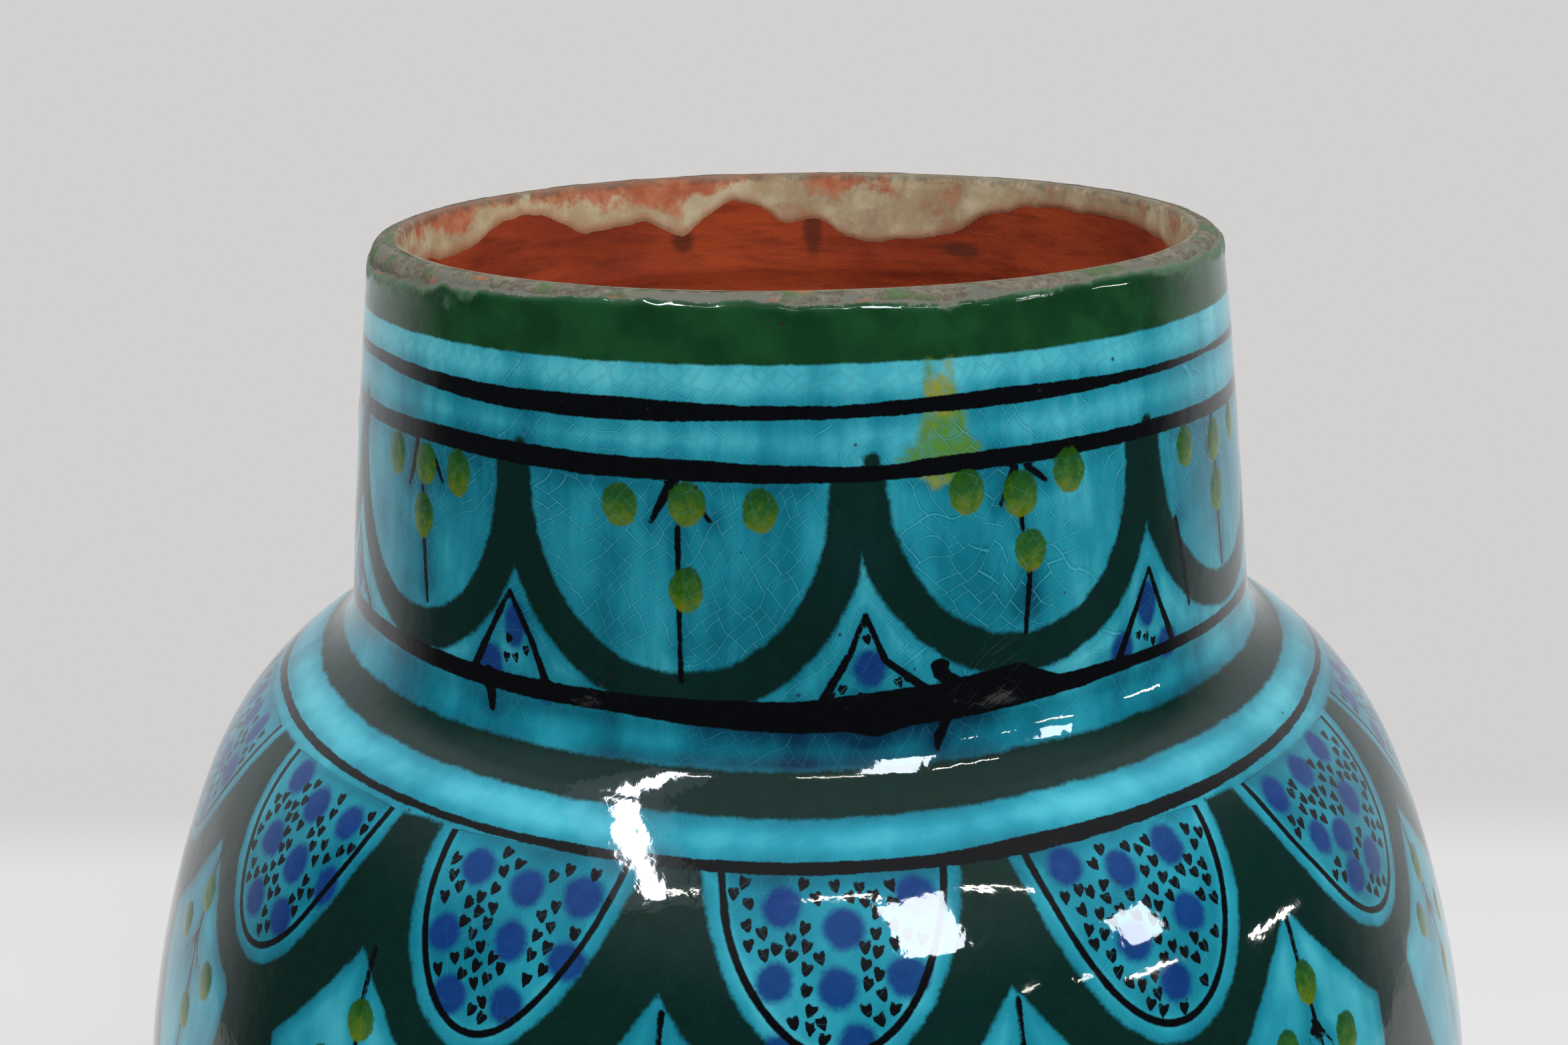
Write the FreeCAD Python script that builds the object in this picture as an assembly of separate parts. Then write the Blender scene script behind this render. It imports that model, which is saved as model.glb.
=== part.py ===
import FreeCAD, Part

import os
from collections import namedtuple
from math import acos, atan2, copysign, cos, degrees, radians, sin, sqrt, tan

# Large glazed earthenware jar: thrown in sections that are luted together, then
# slipped and glazed. Millimetres, +Z up, axis on Z, foot standing on z = 0.
# A lean is the angle of the wall from upright, positive where it opens downwards.

# Whole jar
HEIGHT = 330.0
WALL_T = 7.0
GLAZE_T = 0.5
SLIP_T = 0.3

# Mouth and lip
MOUTH_R = 70.5
LIP_T = 5.2
LIP_R = 3.0
INNER_EDGE_R = 1.2
WORN_DROP = 1.3
RIM_BAND_H = 9.6

# Neck
NECK_H = 59.4
NECK_TOP_LEAN = 7.7
NECK_BASE_LEAN = 5.2
NECK_ROOT_R = 12.5

# Shoulder and belly
SHOULDER_LEAN = 61.0
SHOULDER_SHARE = 0.44
BELLY_R = 119.0
BELLY_Z = 167.0

# Lower body
HEEL_R = 70.0
HEEL_LEAN = -28.0
LOWER_SHARE = 1.0
GLAZE_FOOT_Z = 24.0

# Floor and foot ring
FLOOR_T = 10.0
FLOOR_CORNER_R = 14.0
FOOT_RING_H = 9.0
FOOT_RING_W = 9.0
FOOT_STEP = 1.0
FOOT_SPLAY = 3.0
FOOT_EDGE_R = 1.5

# Cutting tools run past the clay by this much
OVERRUN = 5.0

# Worked out from the sizes above: the mouth's clear radius and the top of the floor
BORE_R = MOUTH_R - LIP_T
FLOOR_Z = FOOT_RING_H + FLOOR_T

AXIS = FreeCAD.Vector(0, 0, 1)
FOOT = FreeCAD.Vector(0, 0, 0)
# Leans of a face that looks up, down, and in towards the axis
UP = radians(90)
DOWN = radians(-90)
INWARD = radians(180)

# A bend is one arc of the wall's outline, in the plane of radius and height. Its
# radius is negative where the wall is hollow from outside.
Bend = namedtuple("Bend", "r z radius lean_top lean_low")

# The bends of the whole outline, from the rim down
Outline = namedtuple("Outline", "lip neck root shoulder belly middle heel")


def spot(r, z):
    """A point of the outline, at radius r and height z."""
    return FreeCAD.Vector(r, 0, z)


def on_bend(bend, lean, out=0.0):
    """The point of a bend where the wall has this lean, moved out from the clay's face."""
    reach = bend.radius + out
    return spot(bend.r + reach * cos(lean), bend.z + reach * sin(lean))


def bend_from(start, radius, lean_top, lean_low):
    """The bend that starts at a point and turns from one lean to another."""
    return Bend(start.x - radius * cos(lean_top), start.z - radius * sin(lean_top),
                radius, lean_top, lean_low)


def two_bends(start, lean_top, end, lean_low, share):
    """Two bends that join start to end smoothly. Their tangent lengths have the ratio share."""
    span_r = end.x - start.x
    span_z = end.z - start.z
    along_top = span_r * sin(lean_top) - span_z * cos(lean_top)
    along_low = span_r * sin(lean_low) - span_z * cos(lean_low)
    toward = share * along_top + along_low
    spread = 2 * share * (1 - cos(lean_top - lean_low))
    span_2 = span_r * span_r + span_z * span_z
    tangent_low = (sqrt(toward * toward + spread * span_2) - toward) / spread
    tangent_top = share * tangent_low
    lean_mid = atan2(span_r - tangent_top * sin(lean_top) - tangent_low * sin(lean_low),
                     tangent_top * -cos(lean_top) + tangent_low * -cos(lean_low) - span_z)
    upper_radius = tangent_top / tan((lean_top - lean_mid) / 2)
    lower_radius = tangent_low / tan((lean_mid - lean_low) / 2)
    upper = bend_from(start, upper_radius, lean_top, lean_mid)
    lower = bend_from(on_bend(upper, lean_mid), lower_radius, lean_mid, lean_low)
    return [upper, lower]


def clay_outline():
    """The bends of the clay's outer face, from the lip down to the heel."""
    neck_top = radians(NECK_TOP_LEAN)
    neck_base = radians(NECK_BASE_LEAN)
    slope = radians(SHOULDER_LEAN)
    heel = radians(HEEL_LEAN)
    lip = Bend(MOUTH_R - LIP_R, HEIGHT - LIP_R, LIP_R, UP, neck_top)
    lip_end = on_bend(lip, neck_top)
    neck_drop = lip_end.z - (HEIGHT - NECK_H)
    neck_radius = neck_drop / (sin(neck_top) - sin(neck_base))
    neck = bend_from(lip_end, neck_radius, neck_top, neck_base)
    root = bend_from(on_bend(neck, neck_base), -NECK_ROOT_R, neck_base, slope)
    belly = spot(BELLY_R, BELLY_Z)
    upper = two_bends(on_bend(root, slope), slope, belly, 0, SHOULDER_SHARE)
    lower = two_bends(belly, 0, spot(HEEL_R, FOOT_RING_H), heel, LOWER_SHARE)
    return Outline(lip, neck, root, *upper, *lower)


def bend_edge(bend, out):
    """A bend as an edge, moved out from the clay's face."""
    mid = (bend.lean_top + bend.lean_low) / 2
    return Part.Arc(on_bend(bend, bend.lean_top, out), on_bend(bend, mid, out),
                    on_bend(bend, bend.lean_low, out)).toShape()


def turned(edges):
    """The solid that a closed outline sweeps when the wheel turns once."""
    return Part.Face(Part.Wire(edges)).revolve(FOOT, AXIS, 360)


def closed_to_axis(edges):
    """Close a run of edges with straight lines to the axis and along it."""
    top = edges[0].firstVertex(True).Point
    low = edges[-1].lastVertex(True).Point
    axis_top = spot(0, top.z)
    axis_low = spot(0, low.z)
    lines = [(low, axis_low), (axis_low, axis_top), (axis_top, top)]
    return edges + [Part.makeLine(a, b) for a, b in lines]


def foot_of(bend):
    """The height at which a bend of the outer face ends. The clay courses are luted there."""
    return on_bend(bend, bend.lean_low).z


def slab(z_low, z_high):
    """A wide flat disc that cuts out the stretch between two heights."""
    wide = BELLY_R + MOUTH_R
    return Part.makeCylinder(wide, z_high - z_low, spot(0, z_low))


def stretch(shape, z_low, z_high):
    """The part of a shape between two heights."""
    return shape.common(slab(z_low, z_high))


def bore_lean(neck):
    """The lean of the neck's inner face where the upright bore of the mouth meets it."""
    return acos((BORE_R + SLIP_T - neck.r) / (neck.radius - WALL_T))


def floor_corner(heel):
    """The round corner that touches the floor and the inner face of the lowest bend."""
    z = FLOOR_Z + FLOOR_CORNER_R
    reach = heel.radius - WALL_T - FLOOR_CORNER_R
    rise = z - heel.z
    across = copysign(sqrt(reach * reach - rise * rise), reach)
    lean = atan2(rise / reach, across / reach)
    return Bend(heel.r + across, z, FLOOR_CORNER_R, lean, DOWN)


def hollow(outline):
    """The inside of the jar: rounded edge, upright bore, neck, body and flat floor."""
    neck = outline.neck
    lean = bore_lean(neck)
    corner = floor_corner(outline.heel)
    edge_top = spot(BORE_R + SLIP_T + INNER_EDGE_R, HEIGHT)
    edge = Bend(edge_top.x, HEIGHT - INNER_EDGE_R, INNER_EDGE_R, UP, INWARD)
    inside = outline._replace(neck=neck._replace(lean_top=lean),
                              heel=outline.heel._replace(lean_low=corner.lean_top))
    mouth = [Part.makeLine(spot(edge_top.x, HEIGHT + OVERRUN), edge_top),
             bend_edge(edge, 0),
             Part.makeLine(on_bend(edge, INWARD), on_bend(neck, lean, -WALL_T))]
    inner_face = [bend_edge(bend, -WALL_T) for bend in inside[1:]]
    return turned(closed_to_axis(mouth + inner_face + [bend_edge(corner, 0)]))


def foot_ring():
    """The turned ring under the floor. It steps in under the heel and splays to the ground."""
    top_r = HEEL_R - FOOT_STEP
    ground_r = top_r + FOOT_SPLAY
    inner_r = top_r - FOOT_RING_W
    corners = [spot(inner_r, 0), spot(ground_r, 0), spot(top_r, FOOT_RING_H), spot(inner_r, FOOT_RING_H)]
    outline = Part.makePolygon(corners + corners[:1])
    ring = turned(outline.Edges)
    low_rims = [edge for edge in ring.Edges if edge.BoundBox.ZMax < FOOT_EDGE_R and edge.Closed]
    return ring.makeFillet(FOOT_EDGE_R, low_rims)


def slip_lining(neck):
    """The thin pale slip on the upright wall of the mouth, below its rounded edge."""
    start = spot(0, on_bend(neck, bore_lean(neck), -WALL_T).z)
    drop = HEIGHT - INNER_EDGE_R - start.z
    return Part.makeCylinder(BORE_R + SLIP_T, drop, start).cut(Part.makeCylinder(BORE_R, drop, start))


def jar_pieces():
    """Every piece of the jar, by name, from the foot up."""
    outline = clay_outline()
    neck_seam = foot_of(outline.neck)
    shoulder_seam = foot_of(outline.shoulder)
    belly_seam = foot_of(outline.belly)
    lower_seam = foot_of(outline.middle)
    clay_block = turned(closed_to_axis([bend_edge(bend, 0) for bend in outline]))
    glazed_block = turned(closed_to_axis([bend_edge(bend, GLAZE_T) for bend in outline]))
    clay = clay_block.cut(hollow(outline))
    glaze = glazed_block.cut(clay_block)
    z_band = HEIGHT - RIM_BAND_H
    return {
        "foot_ring": foot_ring(),
        "floor_disc": stretch(clay, FOOT_RING_H, FLOOR_Z),
        "lower_course": stretch(clay, FLOOR_Z, lower_seam),
        "middle_course": stretch(clay, lower_seam, belly_seam),
        "belly_course": stretch(clay, belly_seam, shoulder_seam),
        "shoulder_course": stretch(clay, shoulder_seam, neck_seam),
        "neck_wall": stretch(clay, neck_seam, HEIGHT),
        "turquoise_glaze": stretch(glaze, GLAZE_FOOT_Z, z_band),
        "green_rim_glaze": stretch(glaze, z_band, HEIGHT - WORN_DROP),
        "mouth_slip": slip_lining(outline.neck),
    }


def report_outline(outline):
    """Print the leans, radii and ends of the bends, to compare with the photograph."""
    for place, bend in outline._asdict().items():
        end = on_bend(bend, bend.lean_low)
        print(f"{place:9s} radius {bend.radius:8.1f}  lean {degrees(bend.lean_top):6.1f} to "
              f"{degrees(bend.lean_low):6.1f}  ends at r {end.x:6.1f} z {end.z:6.1f}")
    bore_foot = on_bend(outline.neck, bore_lean(outline.neck), -WALL_T)
    print(f"upright bore from z {bore_foot.z:.2f} to {HEIGHT - INNER_EDGE_R:.2f}")


os.makedirs("parts", exist_ok=True)
report_outline(clay_outline())
for name, shape in jar_pieces().items():
    solids = shape.Solids
    piece = solids[0] if len(solids) == 1 else Part.makeCompound(solids)
    piece.exportStep(os.path.join("parts", name + ".step"))
    box = piece.optimalBoundingBox()
    print(f"{name:16s} solids {len(solids)}  valid {piece.isValid()}  volume {piece.Volume / 1000:8.1f} cm3"
          f"  r {box.XMax:6.1f}  z {box.ZMin:6.1f} to {box.ZMax:6.1f}")
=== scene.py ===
# %% [markdown]
# # A glazed jar, painted with arches and scales
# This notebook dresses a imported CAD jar. The clay and its coats keep their CAD places, and
# each gets a finer surface here, with the marks of the wheel, the uneven edge of the glaze
# and the brush. Lengths are in millimetres and angles in degrees, because a potter thinks in
# those. They become metres only when a mesh is made.

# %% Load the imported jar
import math

import bpy
import numpy as np
from mathutils import Matrix


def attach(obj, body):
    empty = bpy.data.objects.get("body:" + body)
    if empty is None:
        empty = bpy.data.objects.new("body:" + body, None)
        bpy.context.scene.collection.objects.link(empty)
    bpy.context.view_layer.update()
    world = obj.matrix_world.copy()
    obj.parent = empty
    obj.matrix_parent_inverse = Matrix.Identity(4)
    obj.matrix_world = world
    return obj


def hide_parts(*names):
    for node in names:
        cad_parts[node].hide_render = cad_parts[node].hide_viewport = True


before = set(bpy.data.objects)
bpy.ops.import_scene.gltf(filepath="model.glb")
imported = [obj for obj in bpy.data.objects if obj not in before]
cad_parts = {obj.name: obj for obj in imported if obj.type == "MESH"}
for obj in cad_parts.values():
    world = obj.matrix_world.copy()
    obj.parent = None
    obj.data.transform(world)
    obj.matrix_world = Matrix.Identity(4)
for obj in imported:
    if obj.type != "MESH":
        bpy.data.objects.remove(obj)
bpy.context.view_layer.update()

MM = 0.001
print("clay and coats:", sorted(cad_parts))

# %% [markdown]
# ## The outline of the wall
# A thrown jar is one smooth line turned round an axis. The CAD draws it with seven arcs that
# touch without a corner, so it is enough to know each arc's centre, its radius and the lean
# of the wall at both ends (0 is upright, positive opens downwards). A negative radius is the
# hollow where the neck meets the shoulder. The CAD mesh has the same line, but its facets
# would show in a glossy glaze.

# %% Seven bends, from the lip to the heel
GLAZE_T = 0.5
WALL_T = 7.0
LIP_EDGE = -2.1
# centre's radius and height, radius of the bend, lean at its top and at its foot in radians
BENDS = np.array([
    (67.5000, 327.0000, 3.0000, 1.570796, 0.134390),
    (-1227.9147, 151.8531, 1310.2015, 0.134390, 0.090757),
    (89.3431, 271.7329, -12.5000, 0.090757, 1.064651),
    (59.8549, 218.5349, 48.3242, 1.064651, 0.413931),
    (-57.4529, 167.0000, 176.4529, 0.413931, 0.000000),
    (-115.0931, 167.0000, 234.0931, 0.000000, -0.355420),
    (-486.2729, 304.7756, 630.0181, -0.355420, -0.488692),
])
bend_lengths = np.abs((BENDS[:, 2] + GLAZE_T) * (BENDS[:, 3] - BENDS[:, 4]))
bend_starts = LIP_EDGE + np.concatenate([[0.0], np.cumsum(bend_lengths)])
NECK_SEAM = bend_starts[2]


def wall_at(down, out=0.0):
    """Radius and height of the wall at a length `down` its glazed face.

    The lean turns evenly along each bend. The point is the bend's centre plus (radius + out)
    times the cosine and sine of the lean, so `out` moves it straight out of the clay's face."""
    bend = np.clip(np.searchsorted(bend_starts, down, side="right") - 1, 0, len(BENDS) - 1)
    centre_r, centre_z, radius, top, _ = np.moveaxis(BENDS[bend], -1, 0)
    lean = top - (down - bend_starts[bend]) / (radius + GLAZE_T)
    return centre_r + (radius + out) * np.cos(lean), centre_z + (radius + out) * np.sin(lean)


print("bends start at", bend_starts.round(1), "mm down the wall")

# %% [markdown]
# ## The grid of the outside
# Everything on the outside is worked out on one big grid: a row for every half millimetre or
# so down the wall, and a column for every three eighths of a degree. The glaze is cut into
# bands only at the end, along shared rows, so neither brush nor gloss shows where one stops.
# The bands keep each mesh small.

# %% Rows and columns
AROUND = 960
STEP = 360 / AROUND
turn = np.linspace(-180.0, 180.0, AROUND, endpoint=False)
# name of the band, where it starts and ends down the wall, and the step between its rows
BANDS = [
    ("rim_glaze_band", -1.6, 10.05, 0.42),
    ("neck_glaze_band", 10.05, 60.5, 0.55),
    ("shoulder_glaze_band", 60.5, 112.0, 0.62),
    ("upper_body_glaze_band", 112.0, 168.0, 0.70),
    ("belly_glaze_band", 168.0, 224.0, 0.75),
    ("lower_body_glaze_band", 224.0, 280.0, 0.75),
    ("foot_glaze_band", 280.0, 336.0, 0.75),
]
band_rows = [np.linspace(a, b, round((b - a) / step) + 1) for _, a, b, step in BANDS]
down = np.concatenate([band_rows[0]] + [rows[1:] for rows in band_rows[1:]])
first_row = np.cumsum([0] + [len(rows) - 1 for rows in band_rows])
radius = wall_at(down, GLAZE_T)[0]
# the distance down as a column, which meets the values of the turns in one grid
Y = down[:, None]


def blank(value):
    """The whole grid with one value."""
    return np.full((len(down), AROUND), float(value))


def radius_at(y):
    """Radius of the glazed face at a distance down."""
    return np.interp(y, down, radius)


print(len(down), "rows of", AROUND, "points, widest radius", radius.max().round(2))

# %% [markdown]
# ## Unevenness from the hand
# Nothing thrown and brushed is exact. Two helpers give that: hills on the surface, and a
# value that wanders round the jar. Both start from seeded random numbers, so the jar comes
# out the same each time.

# %% Hills, and values that change round the jar


def rise(value, low, high):
    """0 up to `low`, 1 from `high` on, and straight between them."""
    return np.clip((value - low) / (high - low), 0, 1)


def lump(value, middle, wide):
    """A bell that is 1 at the middle: e to the power of minus the square of the distance."""
    return np.exp(-(((value - middle) / wide) ** 2))


def eased(place):
    """The whole part of a place, and its rest bent so that it lies flat at both ends."""
    whole = np.floor(place).astype(int)
    rest = place - whole
    return whole, rest**2 * (3 - 2 * rest)


def hills(turns, downs, cells, tall, seed):
    """Smooth hills from -1 to 1 on a grid: random heights at the corners of a lattice with
    `cells` round the jar, each `tall` mm high, joined by curves that lie flat at each corner."""
    lattice = np.random.default_rng(seed).uniform(-1, 1, (int(460 / tall) + 4, cells))
    row, ease = eased((np.ravel(downs) + 60) / tall)
    rows = lattice[row] * (1 - ease)[:, None] + lattice[row + 1] * ease[:, None]
    col, ease = eased((turns / 360 % 1) * cells)
    return rows[:, col % cells] * (1 - ease) + rows[:, (col + 1) % cells] * ease


def uneven(cells, tall, seed):
    """Hills over the whole grid of the outside."""
    return hills(turn, down, cells, tall, seed)


def waver(cells, seed):
    """One value from -1 to 1 for each column."""
    return hills(turn, 0.0, cells, 5.0, seed)[0]


def smoothed(values, degrees):
    """A running average round the jar, weighted by a cosine bell that many degrees wide."""
    count = int(degrees / 360 * len(values))
    bell = np.zeros(len(values))
    bell[:count] = 1 - np.cos(2 * np.pi * (np.arange(count) + 0.5) / count)
    bell = np.roll(bell / bell.sum(), -(count // 2))
    return np.real(np.fft.ifft(np.fft.fft(values) * np.fft.fft(bell)))


def at_columns(table):
    """A value at every column: straight lines between the (degrees, value) pairs."""
    degrees, values = np.array(table, float).T
    return np.interp(turn % 360, degrees % 360, values, period=360)


def round_jar(table, wobble=0.0, seed=0, smooth=6):
    """The same, carried round the unseen side with a wobble, then smoothed."""
    degrees, values = np.array(table, float).T
    unseen = np.arange(degrees[-1] + 22, degrees[0] + 345, 21)
    wandering = np.random.default_rng(seed).uniform(-wobble, wobble, len(unseen))
    guessed = np.stack([unseen, values.mean() + wandering], -1)
    return smoothed(at_columns(np.append(table, guessed, 0)), smooth)


print("a hill is at most", uneven(40, 9.0, 1).max().round(2))

# %% [markdown]
# ## The glaze as a coat
# A glaze coat is thickest where it pooled and thins to nothing at its edges. Here it is a
# thickness above the clay at every point of the grid. At the worn rim and above the foot it
# dives a little under the clay's face, so its ragged edge is where two surfaces cross. It
# also follows the finger marks of the throwing. It never stands further out than the CAD's
# coat does, so the marks are taken inwards. A Solidify modifier would be quicker, but gives
# one thickness all over and a straight edge.

# %% How thick the coat is
rings = uneven(5, 7.5, 11) * 0.5 + uneven(9, 3.1, 12) * 0.18
broad = uneven(11, 34.0, 13) * 0.8 + uneven(23, 15.0, 14) * 0.35
ripple = uneven(96, 5.2, 15) * 0.6 + uneven(170, 3.3, 16) * 0.4
inset = np.clip(0.145 - 0.06 * rings - 0.05 * broad - 0.022 * ripple, 0.01, 0.4)
rim_edge = round_jar([(-90, 3.2), (-75, 4.0), (-60, 3.5), (-45, 2.0), (-30, 1.3), (-18, 0.8),
                      (-5, 1.1), (5, 1.5), (18, 1.6), (30, 1.1), (42, 0.8), (55, 1.2),
                      (75, 1.6)], 1.1, 21, 8) + 0.45 * waver(70, 22) + 0.28 * waver(190, 23)
foot_edge = 327.0 + 1.6 * waver(26, 24) + 0.6 * waver(80, 25)
# drips above the foot: degrees, how far they ran, how wide they are in degrees
for place, drop, wide in [(-132, 5.0, 2.4), (-71, 3.2, 2.0), (-28, 4.4, 2.2), (19, 2.6, 1.7),
                          (64, 5.4, 2.6), (109, 3.4, 1.9), (158, 4.2, 2.3)]:
    foot_edge += drop * lump(turn, place, wide)


def coat_edge(inside, soft):
    """How much of the full thickness is left at a distance inside an edge: a quarter circle
    that rises from 0 to 1 over `soft` mm, and falls under the clay beyond the edge."""
    return np.sqrt(1 - (1 - rise(inside, 0, soft)) ** 2) - 0.5 * rise(-inside, 0, 0.5)


from_top = Y - rim_edge
from_foot = foot_edge - Y
coat = GLAZE_T - inset + 0.12 * lump(from_top, 1.2, 0.8) * (1 + 0.6 * uneven(60, 2.0, 26))
coat += 0.26 * lump(from_foot, 1.9, 1.5) - 0.05 * lump(from_foot, 7, 4)
coat = np.minimum(coat, 0.485) * np.minimum(coat_edge(from_top, 1.2), coat_edge(from_foot, 1.1))
print("coat from", coat.min().round(2), "to", coat.max().round(2), "mm")

# %% [markdown]
# ## From a grid to a mesh
# Every piece of a turned pot closes on itself: down the outer face, in under it, up the
# inner face and back to the start. So one function makes them all. It joins each ring of
# points to the next and the last to the first, and gives a closed skin with its faces
# pointing out of the material. The floor, which crosses the axis, closes in two points.

# %% Rings of points become a closed skin


def placed(ring_r, ring_z, turns):
    """Points in space: each ring's radius turned round the axis, 0 degrees at the front."""
    angle = np.radians(turns)
    x, y = ring_r * np.sin(angle), -ring_r * np.cos(angle)
    return np.stack(np.broadcast_arrays(x, y, ring_z), -1)


def ring_faces(rows, around, closed):
    """Corner numbers of the faces between neighbouring rings, four to a face."""
    top = np.arange(rows if closed else rows - 1)[:, None]
    low = (top + 1) % rows
    left = np.arange(around)
    right = (left + 1) % around
    corners = [(top, left), (low, left), (low, right), (top, right)]
    return np.stack([row * around + col for row, col in corners], -1)


def facing(points, closed):
    """Which way the surface faces: the cross product of the way down and the way round."""
    if closed:
        along = np.roll(points, -1, 0) - np.roll(points, 1, 0)
    else:
        along = np.gradient(points, axis=0)
    normal = np.cross(along, np.roll(points, -1, 1) - np.roll(points, 1, 1))
    return normal / np.maximum(np.linalg.norm(normal, axis=-1, keepdims=True), 1e-12)


def corner_map(piece, name, corners):
    """A UV map from two numbers for each corner of each face. The last faces may have none."""
    flat = np.full((len(piece.data.loops), 2), 9.0, np.float32)
    flat[:corners.size // 2] = corners.reshape(-1, 2)
    layer = piece.data.uv_layers.new(name=name, do_init=False)
    layer.uv.foreach_set("vector", flat.ravel())


def wrapped_map(piece, name, across, along):
    """A UV map for rings: `across` has a value for each column and one more where the ring
    closes, `along` one for each row and one more where the last row meets the first."""
    u = np.stack([across[:-1], across[:-1], across[1:], across[1:]], -1)
    v = np.stack([along[:-1], along[1:], along[1:], along[:-1]], -1)
    corner_map(piece, name, np.stack(np.broadcast_arrays(u[None], v[:, None]), -1))


def field(piece, name, values):
    """A number at every point of the piece, for a material to read."""
    layer = piece.data.attributes.new(name, "FLOAT", "POINT")
    layer.data.foreach_set("value", np.ascontiguousarray(values, np.float32).ravel())


def fired(name, node, points, ways=None, poles=None, along=None):
    """Makes the piece from its rings of points in mm. It stands for the CAD node `node`.
    Closed rings get a flat map, with their rows at `along` or else evenly spaced."""
    closed = poles is None
    rows, around, _ = points.shape
    corners = ring_faces(rows, around, closed).ravel()
    counts = np.full(len(corners) // 4, 4)
    ways = (facing(points, closed) if ways is None else ways).reshape(-1, 3)
    cloud = points.reshape(-1, 3)
    if not closed:
        first = np.arange(around)
        last = first + len(cloud) - around
        pole = np.full(around, len(cloud))
        fans = [np.stack([pole, first, np.roll(first, -1)], -1),
                np.stack([pole + 1, np.roll(last, -1), last], -1)]
        corners = np.append(corners, fans)
        counts = np.append(counts, np.full(2 * around, 3))
        cloud = np.append(cloud, [[0, 0, poles[0]], [0, 0, poles[1]]], 0)
        ways = np.append(ways, [[0, 0, 1], [0, 0, -1]], 0)
    mesh = bpy.data.meshes.new(name)
    mesh.vertices.add(len(cloud))
    mesh.vertices.foreach_set("co", (cloud * MM).astype(np.float32).ravel())
    mesh.loops.add(len(corners))
    mesh.loops.foreach_set("vertex_index", corners.astype(np.int32))
    mesh.polygons.add(len(counts))
    mesh.polygons.foreach_set("loop_start", (np.cumsum(counts) - counts).astype(np.int32))
    mesh.update(calc_edges=True)
    mesh.normals_split_custom_set_from_vertices(ways)
    piece = bpy.data.objects.new(name, mesh)
    bpy.context.scene.collection.objects.link(piece)
    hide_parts(node)
    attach(piece, "root")
    if closed:
        along = np.linspace(0, 1, rows + 1) if along is None else along
        wrapped_map(piece, "OFBake", np.linspace(0, 1, around + 1), along)
    print(f"{name}: {len(counts)} faces, {int((counts - 2).sum())} triangles")
    return piece


print("two rings of", AROUND, "points make", len(ring_faces(2, AROUND, False)[0]), "faces")

# %% [markdown]
# ## Painting with distances
# The ornament was laid with a loaded brush: strokes that swell, rings that rise and fall, and
# dabs. A picture wrapped round the jar would blur close up. Instead each colour keeps, at
# every point of the grid, the distance in millimetres to its nearest edge, negative inside
# the paint. A distance changes evenly from point to point, so the edge stays sharp between
# them, and the material can roughen or soften it.

# %% The brush
FAR = 9.0
paint = {colour: blank(FAR) for colour in ("black", "green", "blue", "lime", "splash")}
lime_tone = blank(0)
specks = []


def apart(a, b):
    """Degrees from b to a, the short way round."""
    return (a - b + 180) % 360 - 180


def near(centre, top, foot, wide):
    """The part of the grid round a motif, with flat coordinates: x mm right of its centre
    line, and y mm down from the rim."""
    rows = np.flatnonzero((down >= top) & (down <= foot))
    arc = np.radians(apart(turn, centre))
    cols = np.flatnonzero(np.abs(arc) * radius[rows].min() <= wide)
    x = radius[rows][:, None] * arc[cols]
    return np.ix_(rows, cols), x, np.broadcast_to(Y[rows], x.shape)


def flat_x(degrees, y):
    """Millimetres round the jar for an angle from the centre line, at a height."""
    return np.radians(degrees) * radius_at(y)


def lay(colour, off, spot=np.s_[:]):
    """Adds paint: each point keeps the lesser of its old and its new distance."""
    paint[colour][spot] = np.minimum(paint[colour][spot], off)


def brush(colour, centre, path):
    """A stroke along straight runs. The path has degrees round the jar, mm down and half the
    brush's width. The distance is the distance to the run, less the half width there, which
    changes evenly along the run."""
    degrees, y, half = np.array(path, float).T
    x = flat_x(degrees - centre, y)
    spot, gx, gy = near(centre, y.min() - 5, y.max() + 5, np.abs(x).max() * 1.1 + 6)
    runs = zip(x, y, half, np.diff(x), np.diff(y), np.diff(half))
    for from_x, from_y, from_half, run_x, run_y, swell in runs:
        along = ((gx - from_x) * run_x + (gy - from_y) * run_y) / (run_x**2 + run_y**2)
        along = np.clip(along, 0, 1)
        off = np.hypot(gx - from_x - along * run_x, gy - from_y - along * run_y)
        lay(colour, off - from_half - along * swell, spot)


def dab(colour, place, y, half_x, half_y):
    """An oval touch of the brush. Its distance is how far outside the oval a point is in the
    oval's own sizes, divided by how fast that changes. A lime dab also notes how far down it
    each point lies."""
    spot, gx, gy = near(place, y - half_y - 4, y + half_y + 4, half_x + 4)
    gy = gy - y
    out = np.maximum(np.hypot(gx / half_x, gy / half_y), 1e-3)
    off = (out - 1) * out / np.maximum(np.hypot(gx / half_x**2, gy / half_y**2), 1e-6)
    if colour == "lime":
        lime_tone[spot] = np.where(off < paint[colour][spot], gy / half_y, lime_tone[spot])
    lay(colour, off, spot)


def ring(colour, top, foot):
    """A line round the jar between two edges that rise and fall."""
    lay(colour, np.maximum(top - Y, Y - foot))


def bow(x, y, half, top, foot, lean=0.0, full=2.0):
    """Distance from a hanging arch: straight sides above `top`, and below it a bow where
    (x / half)^full + (y / depth)^full is 1. The distance is the excess over 1 divided by how
    fast it changes. `lean` mm is how far the bow's tip is off the centre line."""
    depth = foot - top
    fall = np.clip((y - top) / depth, 0, None)
    side = np.abs(x - lean * fall) / half
    k = np.maximum((side**full + fall**full) ** (1 / full), 1e-3)
    slope = np.hypot(side ** (full - 1) / half, fall ** (full - 1) / depth) / k ** (full - 1)
    return (k - 1) / np.maximum(slope, 1e-3)


def between(places):
    """Half way from each place to the next, round the jar."""
    return [(a + b) / 2 for a, b in zip(places, places[1:] + [places[0] + 360])]


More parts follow.
